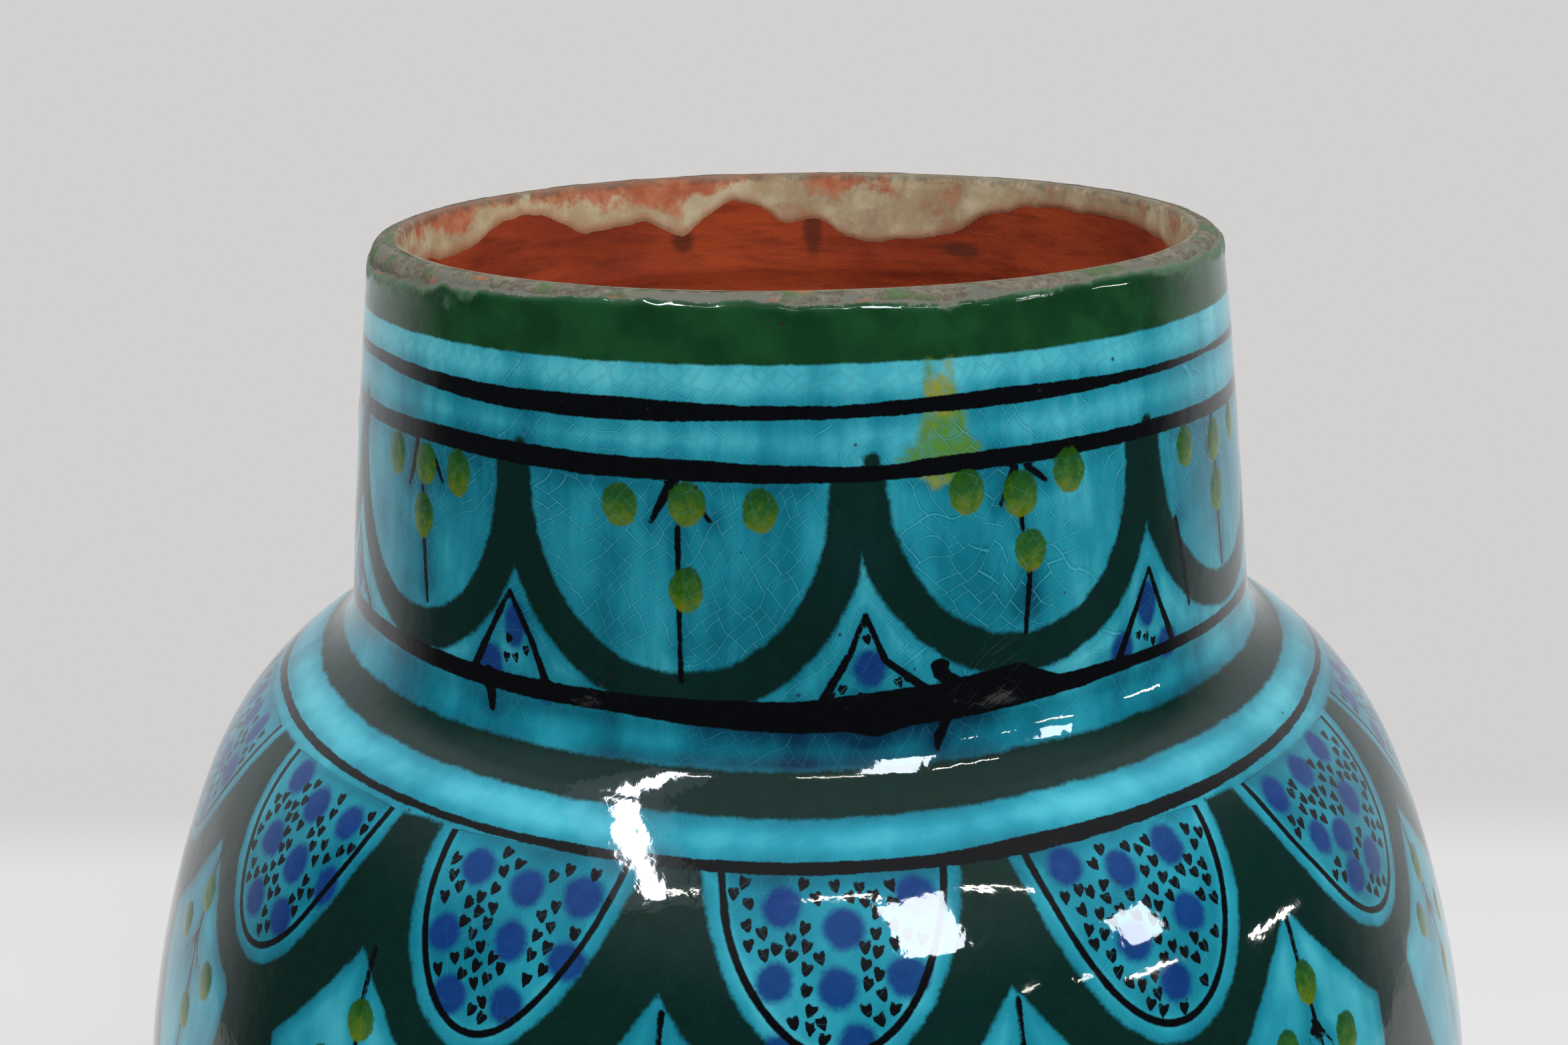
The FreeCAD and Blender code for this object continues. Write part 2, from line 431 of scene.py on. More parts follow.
print("paints:", ", ".join(paint))

# %% [markdown]
# ## The neck: two lines, and arches that hang from them
# The painter turned the jar on the wheel for the black lines, which is why they rise and
# fall with the hand's pressure. Ten dark green arches hang from the lower of the two. Each
# frames three lime buds in a row and a fourth on a stem below. Between the feet of the arches
# stands a small tent with a blue dot, and a third black line closes the neck. One arch drawn
# once and repeated would look printed, so the front has each mark at its measured angle and
# distance down, and only the unseen back follows a rule.

# %% Lines round the neck
# degrees, top and foot of the line in mm down
LINES = [
    [(-60, 14.6, 16.6), (-35, 15.0, 18.0), (-20, 14.6, 18.0), (-5, 15.3, 17.4), (5, 15.4, 17.3),
     (15, 14.8, 17.0), (25, 14.4, 17.0), (40, 15.0, 16.6), (60, 15.4, 16.3)],
    [(-60, 23.2, 25.8), (-45, 22.5, 25.5), (-25, 22.8, 26.0), (-10, 23.0, 26.0), (0, 23.6, 26.1),
     (10, 24.0, 26.1), (15, 23.2, 25.8), (25, 22.9, 25.5), (45, 23.0, 25.3)],
    [(-60, 56.6, 59.4), (-34, 57.0, 60.0), (-20, 57.0, 60.0), (-10, 57.0, 61.0), (0, 57.0, 61.7),
     (10, 55.7, 61.4), (20, 55.3, 60.8), (28, 57.0, 60.0), (40, 57.0, 59.0), (60, 57.3, 59.2)],
]
for number, line in enumerate(LINES):
    line = np.array(line)
    ring("black", round_jar(line[:, :2], 0.5, 40 + number),
         round_jar(line[:, ::2], 0.5, 50 + number))
green_foot = round_jar([(-80, 10.4), (-50, 10.0), (0, 9.8), (40, 9.8), (80, 9.9)], 0.3, 60)
print("the rim's green ends", green_foot.min().round(1), "to", green_foot.max().round(1), "mm down")

# %% Arches, their posts and the tents between them
# centre, half width in degrees at the line, foot of the opening, how far its tip leans in mm
ARCHES = [(-51.5, 15.5, 51.2, 2.0), (-13.85, 17.1, 53.3, 1.0), (24.9, 15.2, 49.8, 0.5),
          (62.2, 15.8, 50.7, -0.5)]
ARCHES += [(62.2 + 35.2 * k, 15.6 + 0.5 * math.sin(2.1 * k), 51.3 + math.sin(3.7 * k),
            math.sin(5 * k)) for k in range(1, 7)]
# where the green starts and ends in mm down, where the bows start, and the stroke's width
GREEN_TOP, GREEN_FOOT, BOW_TOP, STROKE = 24.5, 59.0, 27, 6.0
# how square a bow is: 2 is an oval, more is squarer
SQUARENESS = 2.05
opening = blank(FAR)
for centre, half, foot, tip in ARCHES:
    spot, x, y = near(centre, 20, 66, 34)
    arch = bow(x, y, flat_x(half, 26), BOW_TOP, foot, tip, SQUARENESS)
    opening[spot] = np.minimum(opening[spot], arch)
arch_band = np.maximum(-opening, opening - STROKE - 0.35 * uneven(30, 9.0, 61))
lay("green", np.maximum(arch_band, np.maximum(GREEN_TOP - Y, Y - GREEN_FOOT)))
posts = [-33.6, 7.0, 43.2] + between([arch[0] for arch in ARCHES])[3:]
# tents of the front: left leg from the top down, right leg, blue dabs, specks
TENTS = [
    ([(-33.6, 44.6), (-36.0, 50.5), (-38.6, 57.0)], [(-33.6, 44.6), (-30.6, 51.0), (-28.0, 58.5)],
     [(-32.8, 49.6, 2.0, 3.4), (-36.2, 55.8, 2.5, 2.8), (-28.6, 58.6, 1.2, 1.8)],
     [(-33.6, 51.8), (-32.6, 54.4), (-31.2, 53.0), (-33.9, 54.6)]),
    ([(7.0, 44.8), (5.3, 50.3), (2.4, 56.8)], [(7.0, 44.8), (9.0, 51.5), (13.2, 56.0)],
     [(7.4, 52.6, 2.5, 2.9)],
     [(7.1, 48.3), (4.4, 55.4), (3.2, 56.4), (6.4, 56.6), (10.4, 54.8), (11.3, 54.2)]),
    ([(43.2, 45.0), (40.4, 51.0), (37.4, 57.6)], [(43.2, 45.0), (45.0, 51.0), (47.2, 57.6)],
     [(42.6, 50.2, 2.2, 3.6), (38.2, 56.0, 2.4, 2.6), (46.0, 57.2, 2.6, 2.6)],
     [(42.2, 55.2), (43.4, 56.2), (40.9, 54.6)]),
]
for k, place in enumerate(posts):
    brush("green", place, [(place + 1.0, 22.8 + 0.5 * math.sin(k), 0.9), (place + 1.1, 27, 2.0)])
    dab("green", place + 1.0, 23.0, 1.2, 1.0)
    # the unseen tents are like the middle one
    *legs, dabs, dots = TENTS[k if k < 3 else 1]
    shift = 0.0 if k < 3 else place - posts[1] + 0.5 * math.sin(4.1 * k)
    for leg in legs:
        leg = zip(leg, (0.42, 0.55, 0.7))
        brush("black", place, [(a + shift, b, half) for (a, b), half in leg])
    for a, b, half_x, half_y in dabs:
        dab("blue", a + shift, b, half_x, half_y)
    specks += [(a + shift, b, 0.8) for a, b in dots]
print(len(ARCHES), "arches,", len(posts), "posts")

# %% Buds and stems under the arches
# For each arch of the front: buds in degrees and mm down, strokes with half widths as well
BUDS = [
    [(-55.5, 29.0), (-48.5, 29.0), (-42.2, 29.0), (-48.8, 37.0)],
    [(-19.6, 29.8), (-12.0, 29.2), (-4.0, 29.9), (-12.0, 41.3)],
    [(18.5, 28.5), (25.0, 29.7), (31.5, 27.5), (26.0, 38.0)],
    [(52.0, 28.8), (60.5, 30.0), (68.0, 29.2), (60.5, 38.0)],
]
STEMS = [
    [[(-50.5, 26, 0.5), (-50.8, 29, 0.7), (-52.0, 33, 0.35)], [(-46.6, 28, 0.5), (-45, 31, 0.3)],
     [(-49, 32.5, 0.4), (-48.7, 35, 0.4)], [(-48.5, 40, 0.45), (-47.4, 50, 0.4)]],
    [[(-13.5, 26, 0.9), (-14.6, 28.6, 0.7), (-16.0, 32, 0.3)],
     [(-10.6, 29.5, 0.4), (-9.4, 31.6, 0.3)], [(-13, 32.3, 0.42), (-12.6, 54.5, 0.38)]],
    [[(24.4, 26, 0.7), (22.5, 31, 0.3)], [(26, 26, 0.6), (28.4, 28.4, 0.3)],
     [(25, 32.5, 0.42), (25.1, 35, 0.42)], [(25.8, 41, 0.45), (25.0, 50, 0.38)]],
    [[(60.0, 26, 0.7), (58.4, 31, 0.3)], [(60.4, 33, 0.4), (60.4, 35, 0.4)],
     [(60.3, 41, 0.42), (60.8, 50, 0.38)], [(49, 39, 0.55), (51, 53, 0.4)]],
]
for c, *_ in ARCHES[4:]:
    BUDS.append([(c - 6.6, 29.2), (c + 0.4, 29.0 + math.sin(c)), (c + 7.0, 29.3), (c + 0.6, 38.9)])
    STEMS.append([[(c - 0.8, 26, 0.8), (c - 2.8, 31.5, 0.3)],
                  [(c + 1.6, 28.8, 0.45), (c + 3.0, 31.2, 0.3)],
                  [(c + 0.5, 32, 0.42), (c + 0.7, 36, 0.42)],
                  [(c + 0.6, 42, 0.42), (c + 0.3, 50.5, 0.38)]])
random = np.random.default_rng(62)
for (centre, *_), buds, stems in zip(ARCHES, BUDS, STEMS):
    for place, y in buds:
        dab("lime", place, y, random.uniform(2.45, 2.85), random.uniform(3.1, 3.5))
    for stem in stems:
        brush("black", centre, stem)
# the yellow splash under the rim, then the smears at the neck's foot
SMEARS = [
    ("splash", 16, [(14.5, 10.4, 0.5), (14.9, 17, 1.0)]),
    ("splash", 16, [(17.0, 10.5, 0.45), (17.2, 14, 0.7), (16.6, 18, 1.6)]),
    ("splash", 16, [(16.0, 13.8, 2.0), (16.2, 19, 3.4), (16.0, 22.5, 4.8)]),
    ("splash", 16, [(12.2, 22.2, 0.9), (19.6, 22.4, 1.1)]),
    ("splash", 16, [(11.0, 23.3, 0.4), (13, 23, 0.8)]),
    ("splash", 16, [(15.2, 23, 1.6), (15.0, 27, 0.9)]),
    ("black", 20, [(14.8, 54.0, 1.0), (16.8, 55.6, 0.9)]),
    ("black", 20, [(16.6, 55.8, 1.0), (19, 57.2, 2.5), (24, 57.0, 2.9), (28.5, 58.2, 1.4)]),
    ("black", 8, [(0, 58.5, 1.6), (8, 60.2, 2.3), (15, 58.6, 1.4)]),
    ("black", -36, [(-36.5, 58, 1.4), (-36, 61, 0.9), (-35.7, 62.8, 0.5)]),
    ("black", 15, [(15.6, 61, 0.5), (14.6, 63, 0.8), (14.2, 64.8, 0.3)]),
]
for smear in SMEARS:
    brush(*smear)
dab("black", 14.9, 52.9, 1.5, 1.0)
dab("black", 21.5, 55.2, 1.6, 0.7)
print("buds:", sum(map(len, BUDS)), "strokes:", sum(map(len, STEMS)))

# %% [markdown]
# ## Rings on the shoulder
# Below the neck a broad dark green ring and a thin black one frame a bright turquoise band.
# Both dip to the front, as a ring does when the hand is not quite level with the wheel. The
# same rings close the ornament above the foot, which the photograph does not show. A ring is
# the space between two lines, and each line goes smoothly through a few measured heights,
# because an even stripe would look like a decal.

# %% Shoulder rings, and their like above the foot
SCALES_END = 269.0
# colour, then for the top and the foot of the ring: (degrees, mm down) pairs and the wobble
RINGS = [
    ("green", [(-80, 66.0), (-40, 66.3), (0, 66.8), (40, 66.0), (80, 65.4)], 0.4,
     [(-80, 71.5), (-40, 73.0), (0, 74.5), (15, 74.0), (40, 72.8), (80, 72.0)], 0.5),
    ("black", [(-70, 78.5), (-30, 80.3), (0, 81.0), (12, 80.9), (20, 79.9), (40, 79.3), (70, 77.8)],
     0.5, [(-70, 80.0), (-30, 81.5), (0, 83.0), (20, 82.7), (40, 81.3), (70, 79.0)], 0.4),
    ("black", [(-60, 268.6), (60, 268.0)], 0.6, [(-60, 271.0), (60, 270.6)], 0.5),
    ("green", [(-60, 277.4), (60, 276.8)], 0.6, [(-60, 285.4), (60, 284.8)], 0.6),
    ("black", [(-60, 293.4), (60, 292.6)], 0.6, [(-60, 295.6), (60, 295.2)], 0.6),
]
for number, (colour, tops, top_wobble, feet, foot_wobble) in enumerate(RINGS):
    smooth = 4 if number == 1 else 6
    ring(colour, round_jar(tops, top_wobble, 70 + 2 * number, smooth),
         round_jar(feet, foot_wobble, 71 + 2 * number, smooth))
print(len(RINGS), "rings")

# %% [markdown]
# ## Scales down the body
# Fourteen scales hang from the black ring, and each lower row hangs in the gaps of the one
# above. The painter filled the gaps with dark green, so the green is simply what no scale
# covers. A lower scale is an arch with the rows above taken away, at a brush's width from
# their edge, and that gives its pointed top.

# %% Six rows of scales
# centre and half width in degrees, foot in mm down, how far the tip leans in mm
odd = [(-49.5, 10.4, 112.5, -2.5), (-23.7, 10.2, 111.2, -4.0), (2.5, 10.9, 109.6, 0.0),
       (28.7, 10.7, 112.5, 1.0), (55.0, 11.3, 112.6, 2.5)]
random = np.random.default_rng(80)
odd += [(55.0 + 25.55 * k + random.uniform(-0.5, 0.5), random.uniform(10.2, 11.1),
         random.uniform(110.5, 112.8), random.uniform(-2, 2)) for k in range(1, 10)]
odd_centres = [scale[0] for scale in odd]
even_centres = between(odd_centres)
FEET = [112.0, 151.0, 189.5, 226.5, 261.5, 300.0]
# mm from a scale's shoulders to its foot, mm down where the first row starts, the width of
# the green between two rows, and a distance that no paint reaches
ROW_TALL, SCALES_TOP, BORDER, BEYOND = 34, 82.0, 6.0, 60.0
all_scales = blank(BEYOND)
row_fields = []
for row, row_foot in enumerate(FEET):
    here, bowed, tips = blank(BEYOND), blank(BEYOND), []
    top = row_foot - ROW_TALL if row else SCALES_TOP
    for k in range(14):
        if row:
            centre = (even_centres if row % 2 else odd_centres)[k] + random.uniform(-0.6, 0.6)
            half = 0.365 * 2 * np.pi / 14 * radius_at(top) * random.uniform(0.97, 1.03)
            foot, tip = row_foot + random.uniform(-1, 1), random.uniform(-2, 2)
        else:
            centre, half, foot, tip = odd[k]
            half = flat_x(half, 84)
        spot, x, y = near(centre, top - 40, foot + 12, half + 14)
        scale = bow(x, y, half, top, foot, tip)
        bowed[spot] = np.minimum(bowed[spot], scale)
        if row:
            # sides that meet in a point and flare: 0.62 mm out for each mm down, then more
            fall = np.maximum(y - (FEET[row - 1] - 12.5), -20)
            flare = 0.62 * fall + 0.012 * fall * np.abs(fall)
            scale = np.maximum(scale, 0.85 * (np.abs(x) - flare))
        here[spot] = np.minimum(here[spot], scale)
        tips.append((centre, foot))
    if row:
        last_foot = FEET[row - 1]
        border = BORDER + 3.4 * rise(last_foot - 3 - Y, 0, 9) + 0.4 * uneven(40, 9, 81 + row)
        here = np.maximum(here, np.maximum(border - all_scales, last_foot - ROW_TALL - Y))
    here = np.maximum(here, SCALES_TOP - 0.5 - Y)
    row_fields.append((here, tips, bowed))
    all_scales = np.minimum(all_scales, here)
body = np.maximum(-all_scales, np.maximum(SCALES_TOP - Y, Y - SCALES_END))
lay("green", body)
print("rows of scales:", len(FEET), "share of green:", round(float((body < 0).mean()), 3))

# %% [markdown]
# ## What the scales hold
# Every other row has a black outline, soft blue dots and a scatter of tiny heart-shaped
# specks between them. The rows between carry a stem with lime buds. The specks are smaller
# than the grid can draw, so they are only listed here. Each face will note where it lies on
# the nearest speck, and the material draws the heart from that.

# %% Dots and specks in the odd rows, buds in the even rows
# how far above the scale's foot a row of dots lies, and the dots in it in degrees
DOT_ROWS = [(7.6, (-2.3, 2.5)), (16.0, (-5.0, 0.1, 5.0)), (25.0, (-5.3, -0.1, 5.2)),
            (33.6, (-2.7, 2.7)), (41.5, (0.0,))]
# measured dots of the five scales that face the camera, in degrees and mm down
FRONT_DOTS = [
    [(-55, 85), (-50, 87), (-44.5, 87), (-53.5, 95), (-48.5, 96), (-43.5, 96.5), (-52.5, 104),
     (-48, 104)],
    [(-28.5, 86.5), (-23.3, 88), (-18.2, 88), (-29.6, 96.5), (-23.5, 95.5), (-18.4, 96.8),
     (-27.8, 104.5), (-22.8, 104)],
    [(-1.7, 87.4), (3.2, 90.4), (9.3, 86.5), (-2.2, 97.4), (2.6, 98.2), (7.9, 97.2),
     (3.9, 105.6), (-1.8, 106.8)],
    [(22.6, 85.4), (27.6, 87.6), (33.0, 86.2), (26.6, 97.6), (32.4, 96.0), (29.4, 104.4)],
    [(48.3, 86), (54, 85.5), (59.4, 84.6), (50.8, 95), (58.6, 93.5), (54.2, 97), (53.6, 103),
     (57.6, 103)],
]


def value_at(grid, degrees, y):
    """The grid's value at the point nearest to an angle and a distance down."""
    col = np.round((np.asarray(degrees) + 180) / 360 * AROUND).astype(int) % AROUND
    return grid[np.clip(np.searchsorted(down, y), 0, len(down) - 1), col]


def dotted(centre, foot, here, bowed, edge, measured, narrow):
    """Blue dots, in rows or where they were measured, and a lattice of specks off the dots."""
    dots = [(x * narrow + random.uniform(-0.35, 0.35), foot - up + random.uniform(-0.8, 0.8))
            for up, places in DOT_ROWS for x in places]
    # whole dots keep clear of the outline and of the row above, and specks need less room
    dots = [(x, y) for x, y in dots if value_at(bowed, centre + x, y) < -4.2
            and value_at(here, centre + x, y) < -3.5]
    if measured:
        dots = [(x - centre, y) for x, y in measured]
    for x, y in dots:
        dab("blue", centre + x, y, random.uniform(2.45, 2.95), random.uniform(2.7, 3.2))
    for column in range(-11, 12):
        y = np.arange(foot - 50, foot - 3, 2.75) + (column % 2) * 1.4
        y = y + random.uniform(-0.45, 0.45, len(y))
        x = np.degrees((column * 1.95 + random.uniform(-0.35, 0.35, len(y))) / radius_at(y))
        keep = (value_at(edge, centre + x, y) < -3.9) & (value_at(here, centre + x, y) < -0.9)
        keep &= y > 83.6
        for dot_x, dot_y in dots:
            keep &= np.hypot(flat_x(x - dot_x, y) / 3.35, (y - dot_y) / 3.55) > 1
        specks.extend((centre + a, b, 1.0) for a, b in zip(x[keep], y[keep]))


def budded(centre, foot, narrow):
    """A stem with lime buds and short twigs, which stops before the closing black line."""
    apex = foot - 53
    brush("black", centre, [(centre + 0.3, apex + 3, 0.5), (centre + 0.2, apex + 13, 0.42),
                            (centre + 1.0, min(apex + 30, 265), 0.42),
                            (centre + 0.6, min(foot - 9, 266), 0.35)])
    for x, y in [(0.3, 13.5), (-3.9, 21.5), (5.2, 24.5), (1.4, 33.0)]:
        if apex + y < SCALES_END - 4:
            place = centre + x * narrow + random.uniform(-0.4, 0.4)
            dab("lime", place, apex + y + random.uniform(-1, 1), random.uniform(2.3, 2.7),
                random.uniform(3.0, 3.5))
    for x, y in [(-1.5, 24.5), (-0.5, 26), (0.9, 26), (2.0, 24.5)]:
        if apex + y < SCALES_END - 3:
            twig = [(centre + 0.3, apex + 19.5, 0.35), (centre + x, apex + y, 0.25)]
            brush("black", centre, twig)


# the jar's radius at the first row: where it is wider, the same motif takes up fewer degrees
FIRST_ROW_R = 96.0
outline = blank(BEYOND)
for row, (here, tips, bowed) in enumerate(row_fields):
    edge = here if row else bowed
    if row % 2 == 0:
        outline = np.where(np.abs(here) < np.abs(outline - 2.4),
                           edge + 2.5 + 0.25 * uneven(60, 8, 90 + row), outline)
    for k, (centre, foot) in enumerate(tips):
        narrow = FIRST_ROW_R / radius_at(foot - 15)
        if row % 2 == 0:
            measured = FRONT_DOTS[k] if row == 0 and k < len(FRONT_DOTS) else None
            dotted(centre, foot, here, bowed, edge, measured, narrow)
        elif foot - ROW_TALL < SCALES_END:
            budded(centre, foot, narrow)
outline = np.minimum(outline, FAR)
outline[down < SCALES_TOP - 0.4] = FAR
print(len(specks), "specks")

# %% Each face of the grid learns its nearest speck
# half a speck's width, and how far from it a face can lie and still show some of it
SPECK_HALF, REACH = 1.03, 2.2
mid_down = (down[:-1] + down[1:]) / 2
mid_turn = turn + STEP / 2
nearest = np.full((len(mid_down), AROUND), 1e3)
owner = np.full(nearest.shape, -1)
for number, (place, y, _) in enumerate(specks):
    rows = np.arange(*np.searchsorted(mid_down, (y - REACH, y + REACH)))
    mm_per_degree = flat_x(1, y)
    reach = int(np.ceil(REACH / mm_per_degree / STEP))
    cols = (int((place + 180) // STEP) + np.arange(-reach, reach + 1)) % AROUND
    spot = np.ix_(rows, cols)
    gap = np.hypot(apart(mid_turn[cols], place) * mm_per_degree, (mid_down[rows] - y)[:, None])
    closer = gap < nearest[spot]
    nearest[spot] = np.where(closer, gap, nearest[spot])
    owner[spot] = np.where(closer, number, owner[spot])
place, y, size = np.moveaxis(np.array(specks)[owner], -1, 0)
tilt = np.radians(22) * np.sin(place * 37.0 + y * 11.0)
corners = []
for add_row, add_col in [(0, 0), (1, 0), (1, 1), (0, 1)]:
    x = flat_x(apart(turn + add_col * STEP, place), y)
    up = y - Y[add_row:len(down) - 1 + add_row]
    on_speck = [x * np.cos(tilt) + up * np.sin(tilt), up * np.cos(tilt) - x * np.sin(tilt)]
    corners.append(np.stack(on_speck, -1) / (SPECK_HALF * size)[..., None])
speck_map = np.where((owner >= 0)[..., None, None], np.stack(corners, 2), 9.0)
print("faces with a speck:", int((owner >= 0).sum()))

# %% [markdown]
# ## Pools and thin places
# An alkaline glaze runs. It is deep blue-green where it gathered, as in the hollow under the
# neck, and paler where it ran off. One more value at every point says how deep it lies. Noise
# in the material would put pools anywhere, so the shape and the paint decide where they are,
# and noise only breaks them up.

# %% How deep the colour lies
runs = 0.08 * uneven(47, 60.0, 100) + 0.05 * uneven(101, 30.0, 101)
pool = 0.34 + runs * np.clip((70 - Y) / 4, 0.3, 1) + 0.08 * uneven(26, 22.0, 102)
# deeper inside the arches, deepest in the hollow under the neck and most so at its front
pool += 0.20 * rise(-opening, 0, 3) * rise(Y, 24, 27) * (Y < 66)
hollow = 0.13 + 0.12 * uneven(40, 3.0, 103) + 0.26 * lump(turn, 4, 24)
pool += rise(Y, 59, 61) * rise(-Y, -67.5, -66) * hollow
# a little deeper on the body, in the scales and where drops stopped, thin on the bright ring
pool += 0.06 * rise(Y, 80, 84) - 0.02 * lump(Y, 77.5, 4) - 0.12 * lump(Y, 12.5, 3)
pool += 0.15 * rise(-outline, 0, 1.5) + 0.25 * lump(from_foot, 1.5, 2.5)
pool = np.clip(pool, 0, 1)
# buds stand up as beads under the gloss, and so does the smear at the neck's foot
smear = np.clip(1.2 - np.hypot((turn - 21) * 0.26, (Y - 57.6) / 2.6), 0, 1)
bead = 0.10 * rise(-paint["lime"], 0, 1.2) + 0.04 * smear
out = coat + np.clip(bead, 0, inset + 0.3) * (Y < 150) * 0.9
print("pool from", pool.min().round(2), "to", pool.max().round(2))

# %% [markdown]
# ## The glaze bands
# Now the grid is bent to the jar. A band takes its rows of the outside, and closes along the
# clay's face behind. The faces' directions are worked out on the whole grid before it is cut,
# so a highlight runs across a joint unbroken. Two maps go with each band: one that lays it
# out flat, and one in millimetres for the crackle, stretched so that squares stay square
# wherever they are on the jar.

# %% Cut and fire the bands
NET_R = 75.0
outside = placed(*wall_at(Y, out), turn)
outside_facing = facing(outside, False)
net_down = np.append(0, np.cumsum(np.diff(down) * NET_R / ((radius[:-1] + radius[1:]) / 2)))
net_turn = np.radians(np.append(turn, 180.0)) * NET_R
# what the finish reads at each point, and its value on the hidden back
readings = {colour: (off, FAR) for colour, off in paint.items()}
readings |= {"outline": (outline, FAR), "rim_green": (Y - green_foot, FAR),
             "edge": (from_top, FAR), "lime_tone": (lime_tone, 0.0), "pool": (pool, 0.0)}
glaze_bands = []
for number, (name, start, end, _) in enumerate(BANDS):
    rows = np.arange(first_row[number], first_row[number + 1] + 1)
    back = np.linspace(end, start, 8)
    if start < 66 < end:
        back = np.unique(np.concatenate([back, np.arange(start, 74, 1.5)]))[::-1]
    # the ragged ends dive under the clay, so the back of these two bands lies deeper
    behind = -0.28 if number in (0, len(BANDS) - 1) else 0.0
    inner = placed(*wall_at(back[:, None], behind), turn)
    seen_v = 1 - 0.94 * rise(down[rows], start, end)
    node, slot = ["turquoise_glaze"] * 2 if number else ["green_rim_glaze", "green_glaze"]
    band = fired(name, node, np.append(outside[rows], inner, 0),
                 np.append(outside_facing[rows], facing(inner, False), 0),
                 along=np.append(seen_v, np.linspace(0.05, 0.0, len(back) + 1)))
    back_net = np.interp(back, down, net_down)
    net_rows = np.concatenate([net_down[rows], back_net, net_down[rows][:1]])
    wrapped_map(band, "net", net_turn, net_rows)
    for key, (grid, hidden) in readings.items():
        field(band, key, np.append(grid[rows], np.full((len(back), AROUND), hidden), 0))
    corner_map(band, "speck", speck_map[rows[:-1]])
    glaze_bands.append(band)

# %% [markdown]
# ## The clay under the coats
# The walls were thrown in courses and luted. From outside only the worn lip and the last
# centimetres above the foot show clay, but the whole inside does, with the spiral ridges that
# the potter's knuckles left. Each course is a closed ring: its outer face lies just behind
# the glaze, its inner face carries the ridges. A bump in the material could fake the ridges,
# but seen along the wall they need a real shape.

# %% The inner face with its throwing ridges
clay_turn = turn[::2]
BORE_R = 65.6
BORE_FOOT_Z = 310.45
RIM_Z = 330.0
EDGE_R = 1.2
FLOOR_Z, RING_Z = 19.0, 9.0
CORNER_R, CORNER_AT_R = 14.0, 58.7610


def throwing(z):
    """Ridges from the potter's fingers, in mm: waves that climb one spacing in each turn, of
    uneven height, with slow swells and fine grain over them."""
    spiral = z[:, None] / 8.5 + clay_turn / 360
    ridges = 0.16 * np.sin(2 * np.pi * spiral) * (1 + 0.6 * hills(clay_turn, z, 7, 21, 110))
    swells = 0.14 * hills(clay_turn, z, 9, 14, 111)
    return ridges + swells + 0.05 * hills(clay_turn, z, 60, 2.6, 112)


def wall_rows(downs, out):
    """Rings of points that lie `out` mm off the clay's plain outer face."""
    return placed(*wall_at(downs[:, None], out), clay_turn)


def clay_face(downs):
    """The outer face lies a hair behind the glaze. Where the clay comes out below the glaze,
    it has turning lines cut by a rib."""
    lines = 0.025 * np.sin(downs[:, None] * 2.6) + 0.05 * hills(clay_turn, downs, 14, 3.0, 120)
    return wall_rows(downs, -0.02 - rise(downs, 318, 322)[:, None] * (0.08 + lines))


# the length down the wall where the inner face meets the bore and the floor's round corner
bore_lean = math.acos((BORE_R - BENDS[1, 0]) / (BENDS[1, 2] - WALL_T))
corner_lean = math.atan2(FLOOR_Z + CORNER_R - BENDS[6, 1], CORNER_AT_R - BENDS[6, 0])
bore_down, corner_down = (bend_starts[k] + (BENDS[k, 3] - lean) * (BENDS[k, 2] + GLAZE_T)
                          for k, lean in ((1, bore_lean), (6, corner_lean)))
inner_downs = np.append(np.arange(bore_down, corner_down, 1.15), bend_starts[2:7])
inner_downs = np.unique(np.append(inner_downs, [bore_down, corner_down]).round(5))
inner_all = wall_rows(inner_downs, -WALL_T - throwing(wall_at(inner_downs, -WALL_T)[1]))
inner_facing = -facing(inner_all, False)
print("inner face:", len(inner_downs), "rows,", np.round([bore_down, corner_down], 1), "mm down")

# %% The courses from the shoulder to the floor


def straight_across(a, b):
    """Three rings of points on the way from one ring to another."""
    return a + (b - a) * np.linspace(0, 1, 5)[1:-1, None, None]


def inner_ring(at):
    """The ring of the inner face at a length down the wall."""
    return inner_all[np.abs(inner_downs - at).argmin()]


def ring_of_clay(name, node, top, foot, before, after, free=0):
    """A closed ring of clay: rows, then the inner face from foot to top, then rows again. The
    inner face keeps the directions it has as a whole, so the joins of the courses don't show.
    The last `free` of its rows turn into the rows after them."""
    pick = (inner_downs >= top - 1e-3) & (inner_downs <= foot + 1e-3)
    points = np.concatenate([before, inner_all[pick][::-1], after])
    ways = facing(points, True)
    kept = inner_facing[pick][::-1][:pick.sum() - free]
    ways[len(before):len(before) + len(kept)] = kept
    return fired(name, node, points, ways)


def course(name, top, foot, count=14, low_rows=None):
    """A course between two lengths down the wall: outer face, seam, inner face, seam."""
    outer = clay_face(np.linspace(top, foot, count))
    low = straight_across(outer[-1], inner_ring(foot)) if low_rows is None else low_rows
    return ring_of_clay(name + "_clay", name + "_course", top, foot, np.append(outer, low, 0),
                        straight_across(inner_ring(top), outer[0]))


clay = [course("shoulder", NECK_SEAM, bend_starts[4]),
        course("belly", bend_starts[4], bend_starts[5]),
        course("middle", bend_starts[5], bend_starts[6])]
low_downs = np.linspace(300, 344, 900)
floor_seam_down = np.interp(-FLOOR_Z, -wall_at(low_downs)[1], low_downs)
corner_leans = np.linspace(-np.pi / 2, corner_lean, 14)[:-1]
seam_r = np.linspace(wall_at(floor_seam_down)[0] - 0.3, CORNER_AT_R + 1, 5)
low_r = np.append(seam_r, CORNER_AT_R + CORNER_R * np.cos(corner_leans))
low_z = np.append(np.full(5, FLOOR_Z), FLOOR_Z + CORNER_R + CORNER_R * np.sin(corner_leans))
low_rows = placed(low_r[:, None], low_z[:, None], clay_turn)
clay.append(course("lower", bend_starts[6], floor_seam_down, 60, low_rows))

